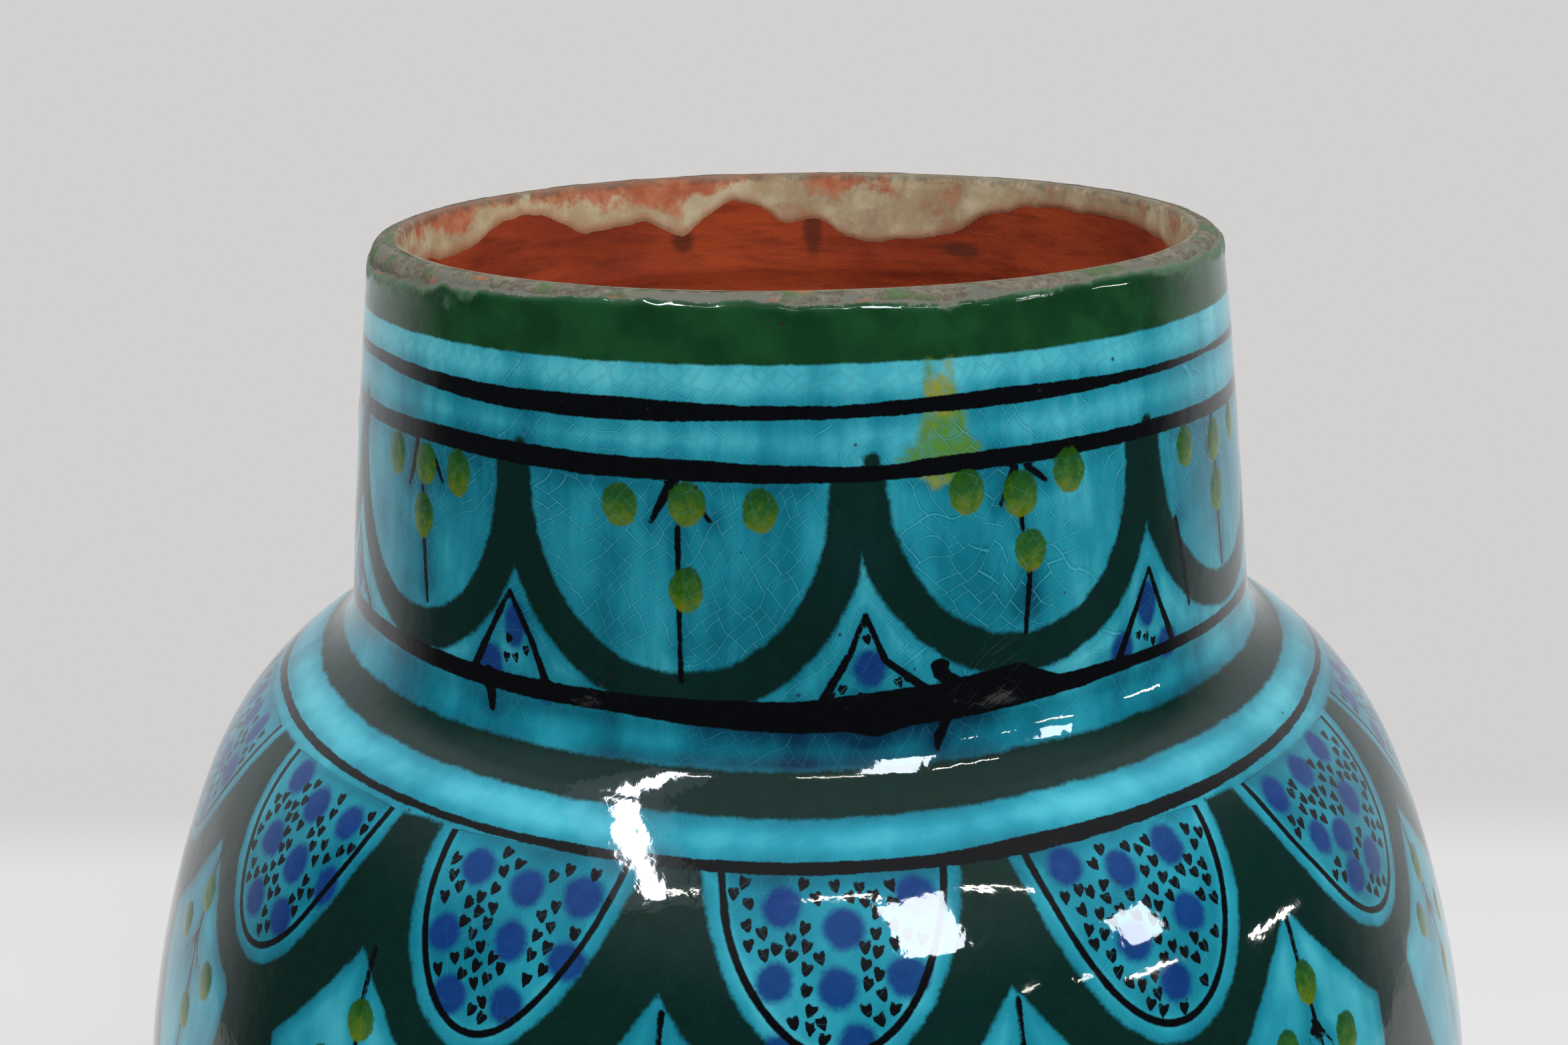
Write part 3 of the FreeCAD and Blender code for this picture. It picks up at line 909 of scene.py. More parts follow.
# %% [markdown]
# ## The lip
# The lip is what the hand and the lid wore. Its top is bare, grey with use, and nicked. So
# the neck's clay gets a fine surface there: small flats and pits on the top and the upper
# edge, which thin out down the bore, where the clay is smooth. They are cut into the mesh,
# because a bump in the material would leave the lip's outline as straight as new.

# %% The neck's clay with its worn lip
LIP_MIDDLE_R = 67.5


def worn(ways_down, strength):
    """How far wear has cut into the lip: dents, small flats and grain, never outwards."""
    dents = 0.22 * rise(hills(clay_turn, ways_down, 46, 4.2, 130), -0.1, 0.9)
    flats = 0.12 * rise(hills(clay_turn, ways_down, 120, 2.2, 131), 0, 1)
    grain = 0.05 * (1 + hills(clay_turn, ways_down, 340, 0.9, 132))
    return (dents + flats + grain) * strength[:, None]


flat_r = np.array([66.8, 67.1])
flat_wear = worn(LIP_EDGE + flat_r - LIP_MIDDLE_R, np.array([0.8, 1.0]))
flat_rows = placed(flat_r[:, None], RIM_Z - flat_wear, clay_turn)
lip_downs = np.append(np.arange(LIP_EDGE, 12.0, 0.45), np.linspace(14, NECK_SEAM, 12))
lip_outer = wall_rows(lip_downs, -worn(lip_downs, rise(-lip_downs, -8, -3)) - 0.02)
bore_z = np.arange(BORE_FOOT_Z, RIM_Z - EDGE_R, 0.7)[1:]
fade = rise(bore_z, BORE_FOOT_Z, BORE_FOOT_Z + 8)[:, None]
bore_r = BORE_R - throwing(bore_z) * (1 - fade) + 0.03 * fade * hills(clay_turn, bore_z, 90, 2, 133)
edge_leans = np.linspace(np.pi, np.pi / 2, 7)[:-1]
edge_reach = EDGE_R - worn(-6 + edge_leans, np.linspace(0.2, 0.8, 6))
edge_rows = placed(BORE_R + EDGE_R + edge_reach * np.cos(edge_leans)[:, None],
                   RIM_Z - EDGE_R + edge_reach * np.sin(edge_leans)[:, None], clay_turn)
seam = straight_across(lip_outer[-1], inner_ring(NECK_SEAM))
neck_clay = ring_of_clay("neck_clay", "neck_wall", bore_down, NECK_SEAM,
                         np.concatenate([flat_rows, lip_outer, seam]),
                         np.append(placed(bore_r, bore_z[:, None], clay_turn), edge_rows, 0), 1)
clay.append(neck_clay)
# mm from the middle of the lip's top: negative towards the bore, positive down the outside
across_lip = np.full(len(neck_clay.data.vertices) // len(clay_turn), -60.0)
outside_lip = np.append(flat_r - LIP_MIDDLE_R, lip_downs - LIP_EDGE)
across_lip[:len(outside_lip)] = outside_lip
inside_lip = np.append(bore_z - RIM_Z - 2.0, (edge_leans - np.pi / 2) * -EDGE_R - 0.7)
across_lip[-len(inside_lip):] = inside_lip
across_lip = across_lip[:, None]
field(neck_clay, "across_lip", across_lip + np.zeros(len(clay_turn)))
# dark smudges on the clay below the slip: angle, mm below the rim, half width, half height
smudge = np.zeros((len(across_lip), len(clay_turn)))
for place, y, half_turn, half_y in [(200, 14.5, 2.2, 2.6), (177, 13.0, 1.8, 6.0),
                                    (150, 16.5, 4.0, 1.6)]:
    spot = lump(clay_turn % 360, place, half_turn) * lump(-across_lip, y, half_y)
    smudge = np.maximum(smudge, spot * ((across_lip > -59) & (across_lip < 0)))
field(neck_clay, "smudge", smudge)
print("smudges cover", (smudge > 0.5).sum(), "points")

# %% [markdown]
# ## Floor and foot ring
# The floor closes the jar. Its upper side has the spiral that a finger leaves on the turning
# wheel, and its underside, inside the foot ring, has the arcs of the cutting wire and the
# turning tool. The foot ring is what the jar stands on, with its edges rubbed round. Both
# are outlines turned round the axis like the wall, and the floor ends in a pole on each side.

# %% The floor, from one pole to the other
# radius of the foot ring's bore, of its widest edge, and where it tucks in under the wall
FOOT_IN_R, FOOT_OUT_R, FOOT_TUCK_R = 60.0, 72.0, 69.0
top_r = np.append(np.linspace(0.8, CORNER_AT_R, 64), np.linspace(CORNER_AT_R + 3, seam_r[0], 3))
top_r = top_r[:, None]
off_wall = CORNER_AT_R - top_r
finger = 0.35 * np.sin(2 * np.pi * (top_r / 9.5 - clay_turn / 360)) * rise(off_wall, 0, 10)
top_z = FLOOR_Z + finger * rise(top_r, 0, 12) - 0.4 * rise(off_wall, 0, 20)
top_z += 0.05 * hills(clay_turn, top_r, 40, 3, 140) * (off_wall > 0)
side_rows = clay_face(np.linspace(floor_seam_down, 344.2, 18))
under_r = [np.linspace(69.4, FOOT_IN_R + 0.4, 4), np.linspace(FOOT_IN_R - 0.4, 0.8, 64)]
under_r = np.concatenate(under_r)[:, None]
tool_arcs = 0.18 * (1 + np.sin(under_r * 1.9 + 0.4 * np.radians(clay_turn)))
tool_arcs = tool_arcs + 0.12 * (1 + hills(clay_turn, under_r, 18, 5, 141))
under_z = RING_Z + (under_r < FOOT_IN_R) * tool_arcs
floor_points = np.concatenate([placed(top_r, top_z, clay_turn), side_rows,
                               placed(under_r, under_z, clay_turn)])
clay.append(fired("floor_clay", "floor_disc", floor_points,
                  poles=(top_z[0].mean(), under_z[-1].mean())))

# %% The foot ring


def rounded_run(corners, bends, steps):
    """A closed line with rounded corners, as radius + height * 1j. At each corner an arc
    touches both straight runs. It starts radius / tan(half the corner's angle) before it."""
    corners = np.array(corners)
    back, ahead = np.roll(corners, 1) - corners, np.roll(corners, -1) - corners
    back, ahead = back / abs(back), ahead / abs(ahead)
    half = abs(np.angle(ahead / back)) / 2
    centre = corners + (back + ahead) / abs(back + ahead) * bends / np.sin(half)
    start, end = (corners + way * bends / np.tan(half) - centre for way in (back, ahead))
    swing = 1j * np.angle(end / start)[:, None] * np.linspace(0, 1, steps)
    return (centre[:, None] + start[:, None] * np.exp(swing)).ravel()


def densified(line, step):
    """The same closed line with more points, no further apart than the step."""
    rich = []
    for a, b in zip(line, np.roll(line, -1)):
        count = max(1, math.ceil(abs(b - a) / step))
        rich += [a + (b - a) * k / count for k in range(count)]
    return np.array(rich)


top = RING_Z * 1j
foot_line = [FOOT_TUCK_R + top, FOOT_OUT_R, FOOT_IN_R, FOOT_IN_R + top]
foot_line = densified(rounded_run(foot_line, [0.05, 1.5, 1.5, 0.05], 8), 0.7)
foot_r, foot_z = foot_line.real[:, None], foot_line.imag[:, None]
rub = 0.06 + 0.06 * hills(clay_turn, foot_z * 3 + foot_r, 30, 2.5, 150)
upright = (foot_z > 0.3) & (foot_z < RING_Z - 0.5)
rub = rub * np.sign((FOOT_IN_R + FOOT_OUT_R) / 2 - foot_r) * upright
foot_points = placed(foot_r + rub, foot_z, clay_turn)
clay.append(fired("foot_ring_clay", "foot_ring", foot_points))
print("foot ring line:", len(foot_line), "points")

# %% [markdown]
# ## Slip inside the mouth
# Before glazing, pale slip was poured over the lip and ran down the bore in tongues. It is a
# coat like the glaze, only thinner and matt. Its lower edge is drawn from the tongues that
# the photograph shows on the far side of the mouth.

# %% The slip and its tongues
# angle and how far the slip runs down the bore there, then how orange and how dark it is
SLIP_RUNS = [(105, 6.5), (112, 5.6), (125, 5.2), (138, 5.6), (146, 8.0), (152, 12.0), (159, 13.4),
             (166, 14.2), (172, 12.6), (176, 9.4), (182, 10.6), (186, 7.0), (191, 5.4), (196, 8.4),
             (200, 12.6), (204, 10.6), (207, 8.8), (214, 9.8), (219, 9.9), (223, 7.6), (227, 5.2),
             (236, 4.8), (243, 8.5), (250, 9.6)]
RUSTY = [(80, 0.2), (105, 0.3), (125, 0.1), (150, 0.05), (162, 0.3), (170, 0.5), (177, 0.45),
         (183, 0.15), (189, 0.8), (197, 1.0), (212, 0.95), (219, 0.6), (227, 0.4), (236, 0.6),
         (246, 0.95), (256, 0.8), (275, 0.3)]
DUSKY = [(80, 0.4), (105, 0.6), (118, 0.75), (134, 0.6), (146, 0.35), (158, 0.5), (168, 0.7),
         (180, 0.6), (188, 0.2), (215, 0.1), (235, 0.2), (260, 0.5)]
EDGE_ARC = EDGE_R * np.pi / 2


def down_bore(path, out):
    """Points at a length down the rounded edge and then the bore, `out` mm off the clay."""
    lean = np.pi / 2 * (1 + rise(path, 0, EDGE_ARC))
    z = RIM_Z - EDGE_R + (EDGE_R + out) * np.sin(lean) - np.maximum(path - EDGE_ARC, 0)
    return placed(BORE_R + EDGE_R + (EDGE_R + out) * np.cos(lean), z, turn)


near_side = np.arange(262, 460, 13.0)
near_runs = 7.2 + np.random.default_rng(161).uniform(-2.6, 4.5, len(near_side))
slip_edge = at_columns(np.append(SLIP_RUNS, np.stack([near_side, near_runs], -1), 0))
slip_edge = smoothed(slip_edge, 3.6) + 0.35 * waver(120, 162)
# the rows run from the foot of the slip up its seen face, and down again behind it
path = np.arange(0.0, 19.4, 0.45)[::-1, None]
back_path = np.linspace(0.3, 19.2, 6)[:, None]
inside = slip_edge - path
slip_t = (0.20 + 0.06 * hills(turn, path, 60, 4, 163)) * coat_edge(inside, 0.9) * rise(path, 0, 1.6)
slip_t -= 0.1 * rise(-path, -0.8, 0) + 0.3 * rise(-inside, 0.6, 2.6)
seen, hidden = down_bore(path, slip_t), down_bore(back_path, -0.3)
slip_coat = fired("slip_coat", "mouth_slip", np.append(seen, hidden, 0),
                  np.append(facing(seen, False), facing(hidden, False), 0))
rusty = at_columns(RUSTY) * rise(-path / (0.62 * slip_edge), -1.25, -0.25)
for key, grid in (("rusty", rusty), ("dusky", at_columns(DUSKY) + 0 * path), ("run", inside)):
    field(slip_coat, key, np.append(grid, np.zeros((len(back_path), AROUND)), 0))
field(slip_coat, "drop", np.append(path, back_path, 0) + np.zeros(AROUND))
print("slip tongues from", slip_edge.min().round(1), "to", slip_edge.max().round(1), "mm")

# %% [markdown]
# ## Finishes: a small kit for node trees
# A finish is a tree of nodes. To keep the cells short, a helper adds a node, sets its
# sockets from numbers or from other nodes, and returns its output as a value. Values can be
# added and multiplied like numbers, which adds the nodes for that. Noise is given by the size
# of its grain in millimetres, and colours as they are read off a screen.

# %% Helpers for node trees


def screen(r, g, b):
    """A colour read off a screen, as the light that it stands for."""
    c = np.array([r, g, b]) / 255
    return tuple(np.where(c < 0.04045, c / 12.92, ((c + 0.055) / 1.055) ** 2.4)) + (1.0,)


class Value:
    """What a node gives out. Arithmetic with it adds nodes to its tree."""

    def __init__(self, kit, socket):
        self.kit, self.socket = kit, socket

    def __add__(self, other):
        return self.kit.calc("ADD", self, other)

    def __sub__(self, other):
        return self.kit.calc("SUBTRACT", self, other)

    def __rsub__(self, other):
        return self.kit.calc("SUBTRACT", other, self)

    def __mul__(self, other):
        return self.kit.calc("MULTIPLY", self, other)

    def __truediv__(self, other):
        return self.kit.calc("DIVIDE", self, other)

    def __abs__(self):
        return self.kit.calc("ABSOLUTE", self)

    __radd__, __rmul__ = __add__, __mul__


class Nodes:
    """A tree of nodes, with short ways to add to it."""

    def __init__(self, tree):
        self.tree = tree

    def feed(self, sockets, values):
        """Gives each socket its number or colour, or links another node's value to it."""
        for key, value in values.items():
            if isinstance(value, Value):
                self.tree.links.new(value.socket, sockets[key])
            else:
                sockets[key].default_value = value

    def add(self, kind, sockets, out=0, **settings):
        """A new node with its settings and sockets, as the value of its output `out`."""
        node = self.tree.nodes.new("ShaderNode" + kind)
        for key, value in settings.items():
            setattr(node, key, value)
        self.feed(node.inputs, sockets)
        return Value(self, node.outputs[out])

    def calc(self, how, *values):
        return self.add("Math", dict(enumerate(values)), operation=how)

    def least(self, first, *others):
        for other in others:
            first = self.calc("MINIMUM", first, other)
        return first

    def most(self, a, b):
        return self.calc("MAXIMUM", a, b)

    def parts(self, vector):
        """The x, y and z of a vector."""
        return [Value(self, s) for s in self.add("SeparateXYZ", {0: vector}).socket.node.outputs]

    def slope(self, value, low, high, to_low=0.0, to_high=1.0):
        """A smooth step: to_low where the value is at low, to_high where it is at high."""
        sockets = {"Value": value, "From Min": low, "From Max": high}
        sockets |= {"To Min": to_low, "To Max": to_high}
        return self.add("MapRange", sockets, interpolation_type="SMOOTHSTEP")

    def mix(self, share, a, b):
        """From a at 0 to b at 1. Three numbers are a colour read off a screen."""
        a, b = (screen(*c) if isinstance(c, tuple) and len(c) == 3 else c for c in (a, b))
        return self.add("Mix", {0: share, 6: a, 7: b}, 2, data_type="RGBA")

    def along(self, value, *stops):
        """Colours along a value, from pairs of a place and a colour read off a screen."""
        colours = self.add("ValToRGB", {"Fac": value})
        elements = colours.socket.node.color_ramp.elements
        for element, (place, colour) in zip(elements, (stops[0], stops[-1])):
            element.position, element.color = place, screen(*colour)
        for place, colour in stops[1:-1]:
            elements.new(place).color = screen(*colour)
        return colours


class Finish(Nodes):
    """A material with one main shader, read in the object's own coordinates."""

    def __init__(self, name):
        self.material = bpy.data.materials.new(name)
        self.material.use_nodes = True
        super().__init__(self.material.node_tree)
        self.place = self.add("TexCoord", {}, "Object")
        self.x, self.y, self.z = self.parts(self.place)

    def shade(self, **values):
        shader = self.tree.nodes["Principled BSDF"]
        self.feed(shader.inputs, {key.replace("_", " "): value for key, value in values.items()})
        return self.material

    def read(self, name):
        """One of the numbers that every point of the piece carries."""
        return self.add("Attribute", {}, "Fac", attribute_name=name)

    def noise(self, grain, detail=2.0, rough=0.5, stretch=None, out="Fac"):
        """Noise about 0.5 with a grain of so many mm, drawn out where the stretch is low."""
        place = self.place
        if stretch:
            place = self.add("Mapping", {"Vector": place, "Scale": stretch})
        sockets = {"Vector": place, "Scale": 1000.0 / grain, "Detail": detail, "Roughness": rough}
        return self.add("TexNoise", sockets, out)

    def bump(self, height, distance, below=None):
        """Tilts the surface by a height whose full range is `distance` mm."""
        sockets = {"Height": height, "Strength": 1.0, "Distance": distance * MM}
        if below:
            sockets["Normal"] = below
        return self.add("Bump", sockets)


print("screen white:", screen(255, 255, 255)[:3])

# %% [markdown]
# ## Crackle
# As the pot cools, the glaze shrinks more than the clay and cracks. The first cracks are long
# and gently curved. Later ones start square from an older crack and stop at the next, which
# makes T joints, not the honeycomb that the usual cell texture gives. So the net is built
# like brickwork: long lines with short ones between, each brick split once or twice more at
# a random place. The plane it lies in is warped, so that the lines bend and turn.

# %% The net of cracks
# height and width of a brick in mm, how far the net is turned, and its seed
COURSE_TALL, BRICK_WIDE, NET_TURNED, NET_SEED = 4.3, 5.2, math.radians(41), 3.0


def crackle(f):
    """Distance in mm to the nearest crack, in the map `net` that is in mm.

    The map is warped by noise and turned. A row number and a random shift for each row give
    bricks, and each brick is split at a random place, first across one way, then the other."""
    place = f.add("UVMap", {}, uv_map="net")
    for grain, detail, far in ((30.0, 2.0, 20.0), (7.0, 1.0, 2.6)):
        off = {0: f.noise(grain, detail, out="Color"), 1: (0.5, 0.5, 0.5)}
        off = f.add("VectorMath", off, operation="SUBTRACT")
        warped = {0: off, 1: (far, far, far), 2: place}
        place = f.add("VectorMath", warped, operation="MULTIPLY_ADD")
    turned = {"Vector": place, "Angle": NET_TURNED}
    x, y, _ = f.parts(f.add("VectorRotate", turned, rotation_type="Z_AXIS"))

    def chance(a, b, more):
        spot = f.add("CombineXYZ", {0: a, 1: b, 2: NET_SEED + more})
        return f.add("TexWhiteNoise", {"Vector": spot}, "Value", noise_dimensions="3D")

    def whole_and_rest(value):
        return f.calc("FLOOR", value), f.calc("FRACT", value)

    row, in_row = whole_and_rest(y / COURSE_TALL)
    brick, in_brick = whole_and_rest(x / BRICK_WIDE + chance(row, 0.0, 0.5))
    cut_x = chance(row, brick, 1.5) * 0.44 + 0.28
    side = f.calc("GREATER_THAN", in_brick, cut_x)
    cut_y = chance(row, brick + side * 0.37, 2.5) * 0.5 + 0.25
    return f.least(f.least(in_row, 1.0 - in_row, abs(in_row - cut_y)) * COURSE_TALL,
                   f.least(in_brick, 1.0 - in_brick, abs(in_brick - cut_x)) * BRICK_WIDE)


print("bricks of", COURSE_TALL, "by", BRICK_WIDE, "mm before they are split")

# %% [markdown]
# ## The painted glaze
# The colour is built in the order of the painter's hands: the turquoise ground with its
# streaks and pools, soft blue dots, dark green, the splash, black, and last the lime buds.
# Each layer's edge comes from its distance, roughened by fine noise. Over all of it lies the
# gloss, with the crackle as hairline grooves.

# %% Turquoise ground and brush work


def painted_glaze(name, rim=False):
    """The finish of the glaze bands. With `rim`, the worn upper edge is added to it."""
    f = Finish(name)
    streaks = f.noise(5.0, 3.0, 0.6, (1.0, 1.0, 0.16))
    cloud = f.noise(16.0, 3.0, 0.55)
    grain = f.noise(0.9, 2.0, 0.6)
    ragged = (f.noise(0.7, 3.0, 0.65) - 0.5) * 0.55 + (f.noise(3.5, 1.0) - 0.5) * 0.5
    dots, limes, rim_paint = f.read("blue"), f.read("lime"), f.read("rim_green")
    to_dark = f.least(f.read("black"), f.read("green"))

    def layer(distance, soft, rag=1.0):
        """How much of a colour covers here: 1 inside its distance, 0 outside."""
        return f.slope(ragged * rag + distance, soft, -soft)

    depth = (streaks - 0.5) * f.slope(f.z, 0.262, 0.274, 0.2, 0.5) + f.read("pool")
    depth = (cloud - 0.5) * 0.55 + f.slope(to_dark, 3.0, 0.0) * 0.16 + depth
    colour = f.along(depth, (0.0, (112, 204, 209)), (0.25, (73, 174, 187)), (0.45, (33, 138, 154)),
                     (0.62, (15, 110, 127)), (0.8, (9, 82, 100)), (1.0, (4, 44, 66)))
    blue = f.mix(f.noise(2.6), (8, 30, 92), (18, 54, 120))
    colour = f.mix(layer(dots, 0.75, 1.8) * 0.93, colour, blue)
    green = f.mix(cloud * f.noise(2.2, 2.0, 0.6), (3, 19, 11), (12, 45, 28))
    green = f.mix(f.slope(f.noise(0.45, 2.0, 0.7), 0.60, 0.75, 0.0, 0.16), green, (22, 84, 70))
    colour = f.mix(layer(f.read("green"), 0.45, 1.7) * 0.97, colour, green)
    rim_green = f.mix(f.slope(f.noise(7.0, 3.0, 0.6), 0.35, 0.7), (15, 56, 27), (26, 72, 37))
    colour = f.mix(layer(rim_paint, 0.25, 0.8), colour, rim_green)
    splash = f.mix(f.slope(f.noise(6.0), 0.42, 0.64), (84, 128, 40), (142, 142, 34))
    thin = f.slope(f.noise(2.6, 3.0, 0.7), 0.28, 0.55, 0.6, 0.95)
    colour = f.mix(layer(f.read("splash"), 0.8, 2.4) * thin, colour, splash)
    ink = f.mix(f.slope(f.noise(1.4, 3.0, 0.7), 0.62, 0.78), (4, 5, 8), (30, 24, 22))
    line_off = abs(f.read("outline")) - 0.56
    black = f.most(layer(f.read("black"), 0.13, 0.8), layer(line_off, 0.16, 0.5))
    colour = f.mix(black, colour, ink)

    # a heart is a round dot with its sides pushed up, so that its tip points down
    across, up, _ = f.parts(f.add("UVMap", {}, uv_map="speck"))
    lobe = abs(across) * -0.8 + up + 0.25
    heart = f.calc("SQRT", lobe * lobe + across * (across * 1.15))
    heart = f.slope((grain - 0.5) * 0.7 + heart, 0.95, 0.75)
    colour = f.mix(heart, colour, (8, 10, 14))
    tone = f.read("lime_tone") * 0.32 + (f.noise(1.5, 3.0, 0.7) * 0.9 + 0.02)
    lime = f.along(tone, (0.15, (24, 66, 12)), (0.45, (44, 86, 14)), (0.74, (84, 108, 16)),
                   (0.95, (116, 104, 14)))
    colour = f.mix(layer(limes, 0.22, 1.6) * 0.96, colour, lime)
    pit = f.add("TexVoronoi", {"Vector": f.place, "Scale": 1000.0 / 7.5}, "Distance")
    pit = f.slope(grain * 0.03 + pit, 0.062, 0.045)
    colour = f.mix(pit * 0.75, colour, (40, 30, 26))

    # cracks show on bare turquoise, less through paint and hardly on the body
    crack = crackle(f)
    patchy = f.slope(f.noise(15.0, 2.0, 0.6), 0.30, 0.60, 0.55, 1.0)
    patchy = patchy * f.slope(f.z, 0.266, 0.278, 0.2, 1.0)
    bare = f.slope(f.least(to_dark, rim_paint, line_off), 0.0, 0.5, 0.01, 1.0)
    bare = bare * f.slope(f.least(dots, limes), -0.3, 0.5, 0.3, 1.0) * patchy
    shadow = f.slope(abs(crack - 0.15), 0.10, 0.02) * bare
    colour = f.mix(shadow * 0.30, colour, (6, 58, 76))
    colour = f.mix(f.slope(crack, 0.075, 0.015) * bare * 0.46, colour, (88, 176, 192))
    relief = f.slope(crack, 0.16, 0.0) * patchy * f.slope(rim_paint, -0.3, 0.5)
    surface = f.bump(f.noise(4.2) + f.noise(1.3) * 0.16, 0.055)
    surface = f.bump(relief, -0.0035, surface)
    gloss = relief * 0.05 + f.slope(f.noise(9.0), 0.3, 0.8, 0.03, 0.07)
    if rim:
        colour, gloss, surface = worn_edge(f, colour, gloss, surface)
    return f.shade(Base_Color=colour, Roughness=gloss, Normal=surface, IOR=1.5)


glaze_finish = painted_glaze("painted_turquoise_glaze")
for band in glaze_bands[1:]:
    band.data.materials.append(glaze_finish)
print("nodes in the painted glaze:", len(glaze_finish.node_tree.nodes))

# %% [markdown]
# ## The worn rim
# At the rim the green glaze is thin and dry in places: pale matt green on the left, ochre
# where the iron of the clay burnt through, and grey on top where it has worn off. It could be
# a material of its own, but then the seam below the rim's band would show. So the rim has
# the same finish with the wear added on top.

# %% Dry and worn patches of the rim


def worn_edge(f, colour, gloss, surface):
    """Adds the dry edge: patches that grow towards the glaze's upper edge, by its distance."""
    inside = f.read("edge")
    far_side = f.most(f.slope(f.x, -0.036, -0.062, 0.0, 2.6), f.slope(f.x, 0.042, 0.062, 0.0, 2.2))
    dry = f.slope(f.noise(9.0, 4.0, 0.62) * 11.0 + (far_side - inside), 5.3, 6.9)
    pale = f.mix(f.noise(1.6, 3.0, 0.7), (34, 76, 40), (96, 122, 88))
    colour = f.mix(dry * 0.7, colour, pale)
    bare = f.slope(f.noise(2.2, 4.0, 0.7) * 2.4 - inside, 0.85, 1.4)
    rusty = f.slope(f.noise(5.0, 4.0, 0.65, (0.45, 0.45, 2.2)), 0.60, 0.68)
    colour = f.mix(bare, colour, f.mix(rusty, (92, 90, 76), (140, 88, 54)))
    matt = f.most(dry * 0.8, bare)
    return colour, matt * 0.5 + gloss, f.bump(f.noise(0.8, 3.0, 0.7) * matt, 0.12, surface)


rim_finish = painted_glaze("worn_green_rim_glaze", rim=True)
glaze_bands[0].data.materials.append(rim_finish)
print("nodes in the rim's glaze:", len(rim_finish.node_tree.nodes))

# %% [markdown]
# ## Bare clay and slip
# Red earthenware fires to a warm brick colour, darker where fingers pressed iron to the
# surface and dusty where it has been rubbed. One noise alone looks like a printed cloud, so
# a coarse, a drawn-out and a fine one lie over each other. The slip is cream, thin at its
# edge so that the red shows through, and stained orange in places.

# %% Terracotta, plain and on the lip


def bare_clay(name, lip=False):
    """The finish of the clay. With `lip`, the grey, green and rusty wear of the lip too, and
    painted shade on the lip's far side.
    """
    f = Finish(name)
    lines = f.noise(3.0, 4.0, 0.6, (0.25, 0.25, 1.6))
    cloud = f.noise(26.0, 4.0, 0.6)
    grain = f.noise(0.7, 3.0, 0.7)
    colour = f.mix(f.slope(cloud, 0.3, 0.72), (142, 48, 18), (172, 68, 28))
    colour = f.mix(f.slope(lines, 0.42, 0.7) * 0.5, colour, (96, 32, 14))
    colour = f.mix(f.slope(grain, 0.62, 0.78) * 0.5, colour, (178, 92, 50))
    height = grain * 0.35 + lines
    if lip:
        across = f.read("across_lip") + (f.noise(2.4, 4.0, 0.65) - 0.5) * 3.4
        wear_and_far_shade = f.mix(f.slope(f.noise(1.8, 5.0, 0.75), 0.36, 0.66), (76, 74, 62), (118, 116, 100))
        wear_and_far_shade = f.mix(f.slope(f.noise(7.0, 4.0, 0.65), 0.46, 0.66) * 0.8, wear_and_far_shade, (60, 96, 54))
        rusty = f.slope(f.noise(4.2, 4.0, 0.65, (0.4, 0.4, 2.2)), 0.59, 0.68)
        wear_and_far_shade = f.mix(rusty, wear_and_far_shade, (150, 92, 58))
        # painted shade: the far side of the lip, away from the camera, is darkened towards
        # grey-brown
        wear_and_far_shade = f.mix(f.slope(f.y, 0.0, 0.05) * 0.6, wear_and_far_shade, (48, 50, 42))
        on_top = f.slope(across, -2.6, -1.4) * f.slope(across, 11.0, 8.0)
        colour = f.mix(on_top * 0.94, colour, wear_and_far_shade)
        cream = f.slope(across, -4.6, -2.6) * f.slope(across, -1.0, -2.2)
        colour = f.mix(cream * 0.6, colour, (170, 150, 118))
        height = f.noise(1.1, 4.0, 0.7) * 1.2 + height
        dirt = f.slope(grain * 0.4 + f.read("smudge"), 0.35, 0.95)
        colour = f.mix(dirt * 0.7, colour, (66, 32, 18))
    return f.shade(Base_Color=colour, Roughness=f.slope(cloud, 0.2, 0.8, 0.72, 0.92),
                   Normal=f.bump(height, 0.10), IOR=1.45, Specular_IOR_Level=0.35)


terracotta = bare_clay("bare_terracotta")
lip_terracotta = bare_clay("worn_lip_terracotta", lip=True)
for piece in clay:
    piece.data.materials.append(lip_terracotta if piece == neck_clay else terracotta)
print("pieces of bare clay:", len(clay))

# %% Cream slip
f = Finish("cream_slip_wash")
cloud = f.noise(11.0, 4.0, 0.62)
smeared = f.slope(f.noise(7.0, 4.0, 0.65), 0.3, 0.7, -0.35, 0.35)
cream = f.mix(f.slope(cloud, 0.35, 0.65), (218, 202, 164), (188, 162, 122))
cream = f.mix(f.slope(f.read("dusky") + smeared, 0.2, 0.9), cream, (176, 150, 116))
pink = f.mix(f.slope(f.noise(4.0, 3.0, 0.6), 0.35, 0.65), (204, 124, 84), (184, 88, 50))
cream = f.mix(f.slope(f.read("rusty") + smeared, 0.2, 0.6) * 0.9, cream, pink)
fine = f.noise(3.0, 3.0, 0.6)
thin = f.slope((fine - 0.5) * 1.6 + f.read("run"), 2.4, 0.2)
cream = f.mix(thin * 0.55, cream, (178, 96, 56))
grime = f.slope(f.noise(2.6, 4.0, 0.7) * 3.0 + (0.9 - f.read("drop")), -0.2, 1.3)
cream = f.mix(grime * 0.75, cream, (78, 74, 60))
surface = f.bump(f.noise(0.8, 3.0, 0.7) * 0.4 + fine, 0.08)
slip_coat.data.materials.append(f.shade(
    Base_Color=cream, Roughness=f.slope(cloud, 0.3, 0.7, 0.62, 0.85), IOR=1.45, Normal=surface))
print("finishes:", [m.name for m in bpy.data.materials])

# %% [markdown]
# ## Floor, light and camera
# The jar stands on a pale table whose edges fade into a pale room. The light is soft from all
# sides, with a few windows and tubes that the glaze mirrors as small bright shapes on the
# rim, in the hollow of the neck and on the shoulder. Each hangs in the direction that the
# glaze has to mirror, which a picture of some other room could not give. The lamps called
# soft light the jar but give no mirror image, and the room is dark where the camera stands,
# because a glossy black shows whatever it mirrors.

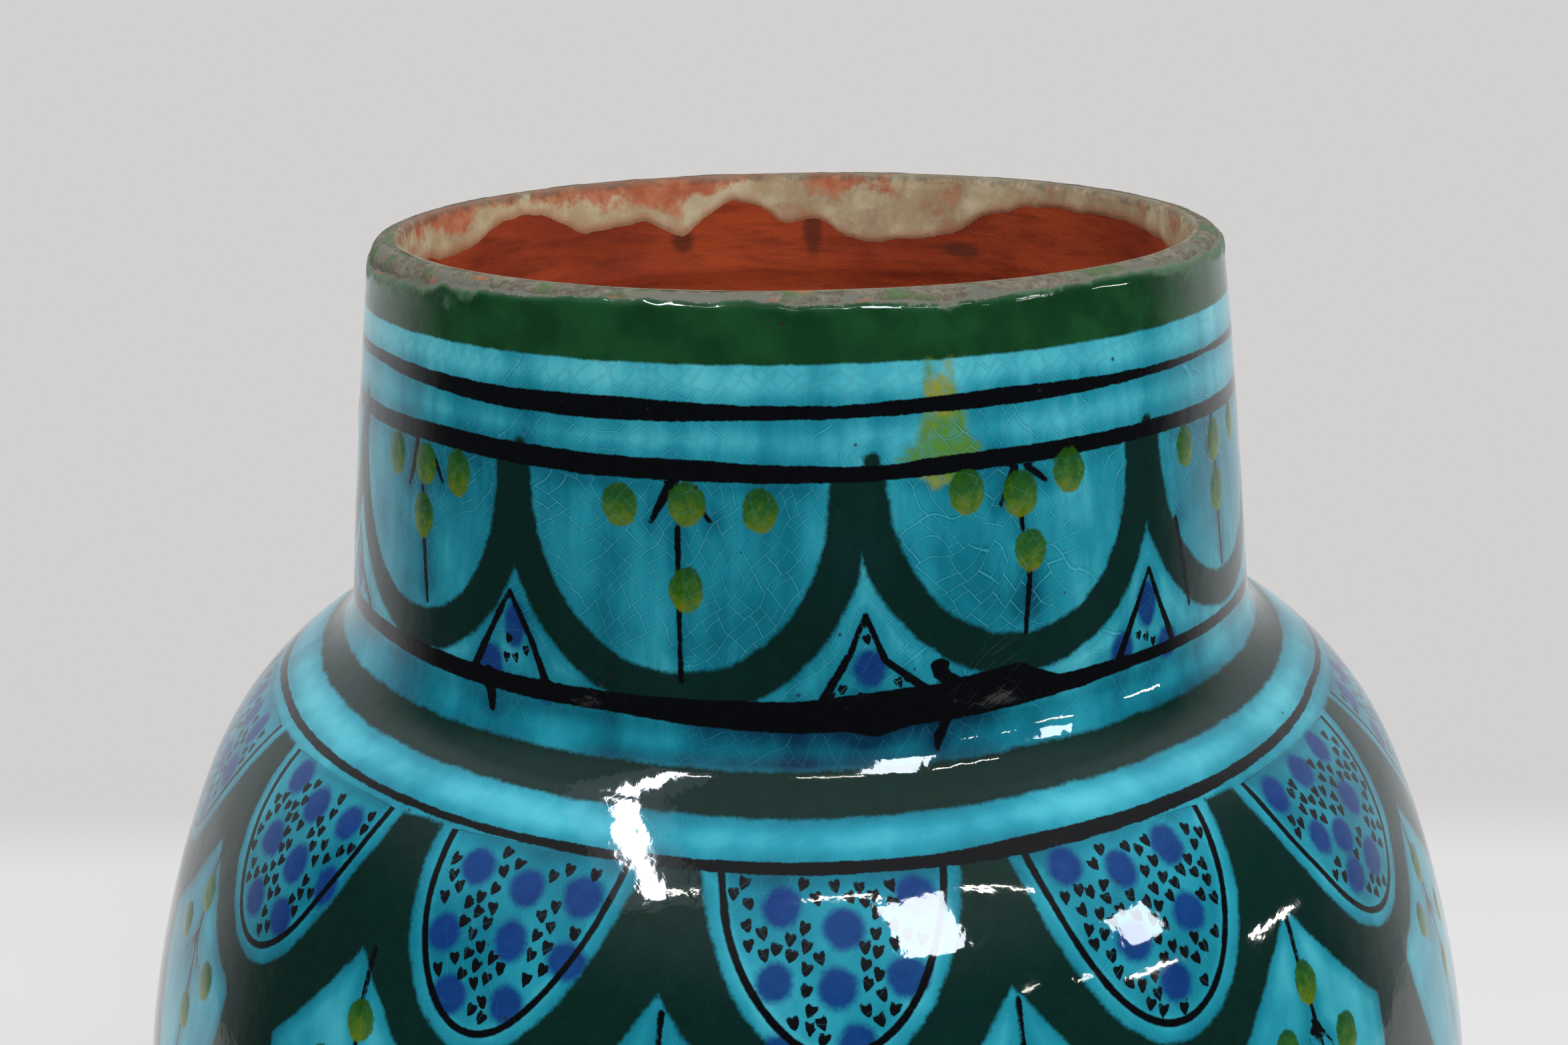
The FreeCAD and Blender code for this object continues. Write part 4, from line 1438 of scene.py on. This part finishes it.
# %% The pale table, which fades out at its edges
table_mesh = bpy.data.meshes.new("studio_table")
corners = [(-1, -0.9, 0), (1, -0.9, 0), (1, 0.65, 0), (-1, 0.65, 0)]
table_mesh.from_pydata(corners, [], [(0, 1, 2, 3)])
studio_table = bpy.data.objects.new("studio_table", table_mesh)
bpy.context.scene.collection.objects.link(studio_table)
f = Finish("pale_paper")
solid = f.slope(f.y, 0.50, 0.42) * f.slope(f.y, -0.88, -0.72) * f.slope(abs(f.x), 0.98, 0.80)
table_mesh.materials.append(f.shade(Base_Color=screen(216, 211, 207), Roughness=0.9, Alpha=solid))
print("table corners in metres:", corners)

# %% The room: bright behind and above, dark where the camera stands
bpy.context.scene.world = bpy.data.worlds.new("room")
bpy.context.scene.world.use_nodes = True
room = Nodes(bpy.context.scene.world.node_tree)
_, back, up = room.parts(room.add("TexCoord", {}, "Generated"))
behind = room.slope(back + room.slope(up, 0.4, 0.9, 0.0, 0.22), 0.10, 0.62, 0.0, 0.60)
glow = room.most(behind, room.slope(up, 0.35, 0.85, 0.0, 0.33)) + 0.05
seen_by_camera = room.add("LightPath", {}, "Is Camera Ray")
room.feed(room.tree.nodes["Background"].inputs, {
    "Strength": room.most(glow, seen_by_camera * 0.65),
    "Color": room.mix(seen_by_camera, (0.96, 0.98, 1.0, 1.0), (1.0, 0.98, 0.97, 1.0))})
print("nodes in the room's light:", len(room.tree.nodes))

# %% Lamps and windows, each hung where the glaze has to mirror it
# name, directions of its two ends as degrees right of the camera and degrees up, width in
# metres, brightness, colour
DAY, TUBE = (0.86, 0.92, 1.0), (1.0, 0.95, 0.88)
WINDOWS = [
    ("ceiling_lamp_left", (-37, 53), (-113, 69), 0.15, 40.0, DAY),
    ("ceiling_glow_left", (-34, 51), (-118, 67), 0.55, 0.5, DAY),
    ("tube_short", (-38, 56.0), (-29, 57.2), 0.035, 42.0, TUBE),
    ("tube_middle", (-1, 58.0), (20, 57.0), 0.035, 46.0, TUBE),
    ("tube_right", (40, 54.0), (54, 46.0), 0.04, 46.0, TUBE),
    ("window_right", (26, 55), (26, 37), 0.48, 24.0, DAY),
    ("window_side", (63, 31), (63, 21), 0.36, 20.0, DAY),
    ("bar_side", (56, 13), (66, 12), 0.05, 42.0, TUBE),
    ("bar_low", (81, 6.5), (92, 5.0), 0.06, 42.0, TUBE),
    ("bar_small", (38, 20.0), (41, 20), 0.04, 30.0, TUBE),
    ("bar_dim", (47, 19.0), (50, 18.5), 0.05, 20.0, TUBE),
    ("soft_left", (-86, 14), (-86, 60), 1.1, 0.9, DAY),
    ("soft_right", (86, 24), (86, 60), 1.1, 0.7, DAY),
    ("soft_ceiling", (180, 74), (0, 74), 2.2, 0.25, DAY),
    ("soft_front", (-25, 26), (25, 26), 1.0, 0.42, DAY),
]
# how far off the lamps hang in metres
AWAY = 2.6
NECK_MIDDLE = np.array([0.0, 0.0, 0.27])


def way_to(right, up):
    """The way from the jar to what lies so many degrees right of the camera and so many up."""
    right, up = np.radians([right, up])
    return np.array([math.sin(right) * math.cos(up), -math.cos(right) * math.cos(up), math.sin(up)])


def unit(way):
    """The same way with a length of 1: divided by its length."""
    return way / np.linalg.norm(way)


def hung(name, data, right, up, back, spot):
    """Puts a lamp or camera at a spot. It looks against `back`, with its sides along the others."""
    thing = bpy.data.objects.new(name, data)
    thing.matrix_world = Matrix([*np.stack([right, up, back, spot], -1).tolist(), [0, 0, 0, 1]])
    bpy.context.scene.collection.objects.link(thing)
    return thing


for name, end, other, wide, bright, tint in WINDOWS:
    span = AWAY * (way_to(*other) - way_to(*end))
    middle = AWAY * (way_to(*other) + way_to(*end)) / 2
    long, along = np.linalg.norm(span), unit(span)
    back = unit(middle - (middle @ along) * along)
    light = bpy.data.lights.new(name, "AREA")
    light.shape = "RECTANGLE"
    light.size, light.size_y = long, wide
    light.energy = bright * wide * long * math.pi
    light.color = tint
    lamp = hung(name, light, along, np.cross(back, along), back, NECK_MIDDLE + middle)
    lamp.visible_glossy = not name.startswith("soft")
    print(f"{name}: {long:.2f} m by {wide} m")

# %% The camera, from a fit to the photograph
YAW, PITCH, ROLL = -0.516, 16.645, math.radians(-0.869)
ahead = way_to(180 - YAW, -PITCH)
right = unit(np.cross(ahead, [0, 0, 1]))
upward = np.cross(right, ahead)
view = bpy.data.cameras.new("camera")
view.sensor_width = 36.0
view.lens = 46.55
view.clip_start = 0.01
scene = bpy.context.scene
scene.camera = hung("camera", view, math.cos(ROLL) * right + math.sin(ROLL) * upward,
                    math.cos(ROLL) * upward - math.sin(ROLL) * right, -ahead,
                    (0.000489, -0.34155, 0.37905))
scene.view_settings.view_transform = "Standard"
scene.view_settings.look = "None"
print("camera at", [round(v, 3) for v in scene.camera.matrix_world.translation], "metres")
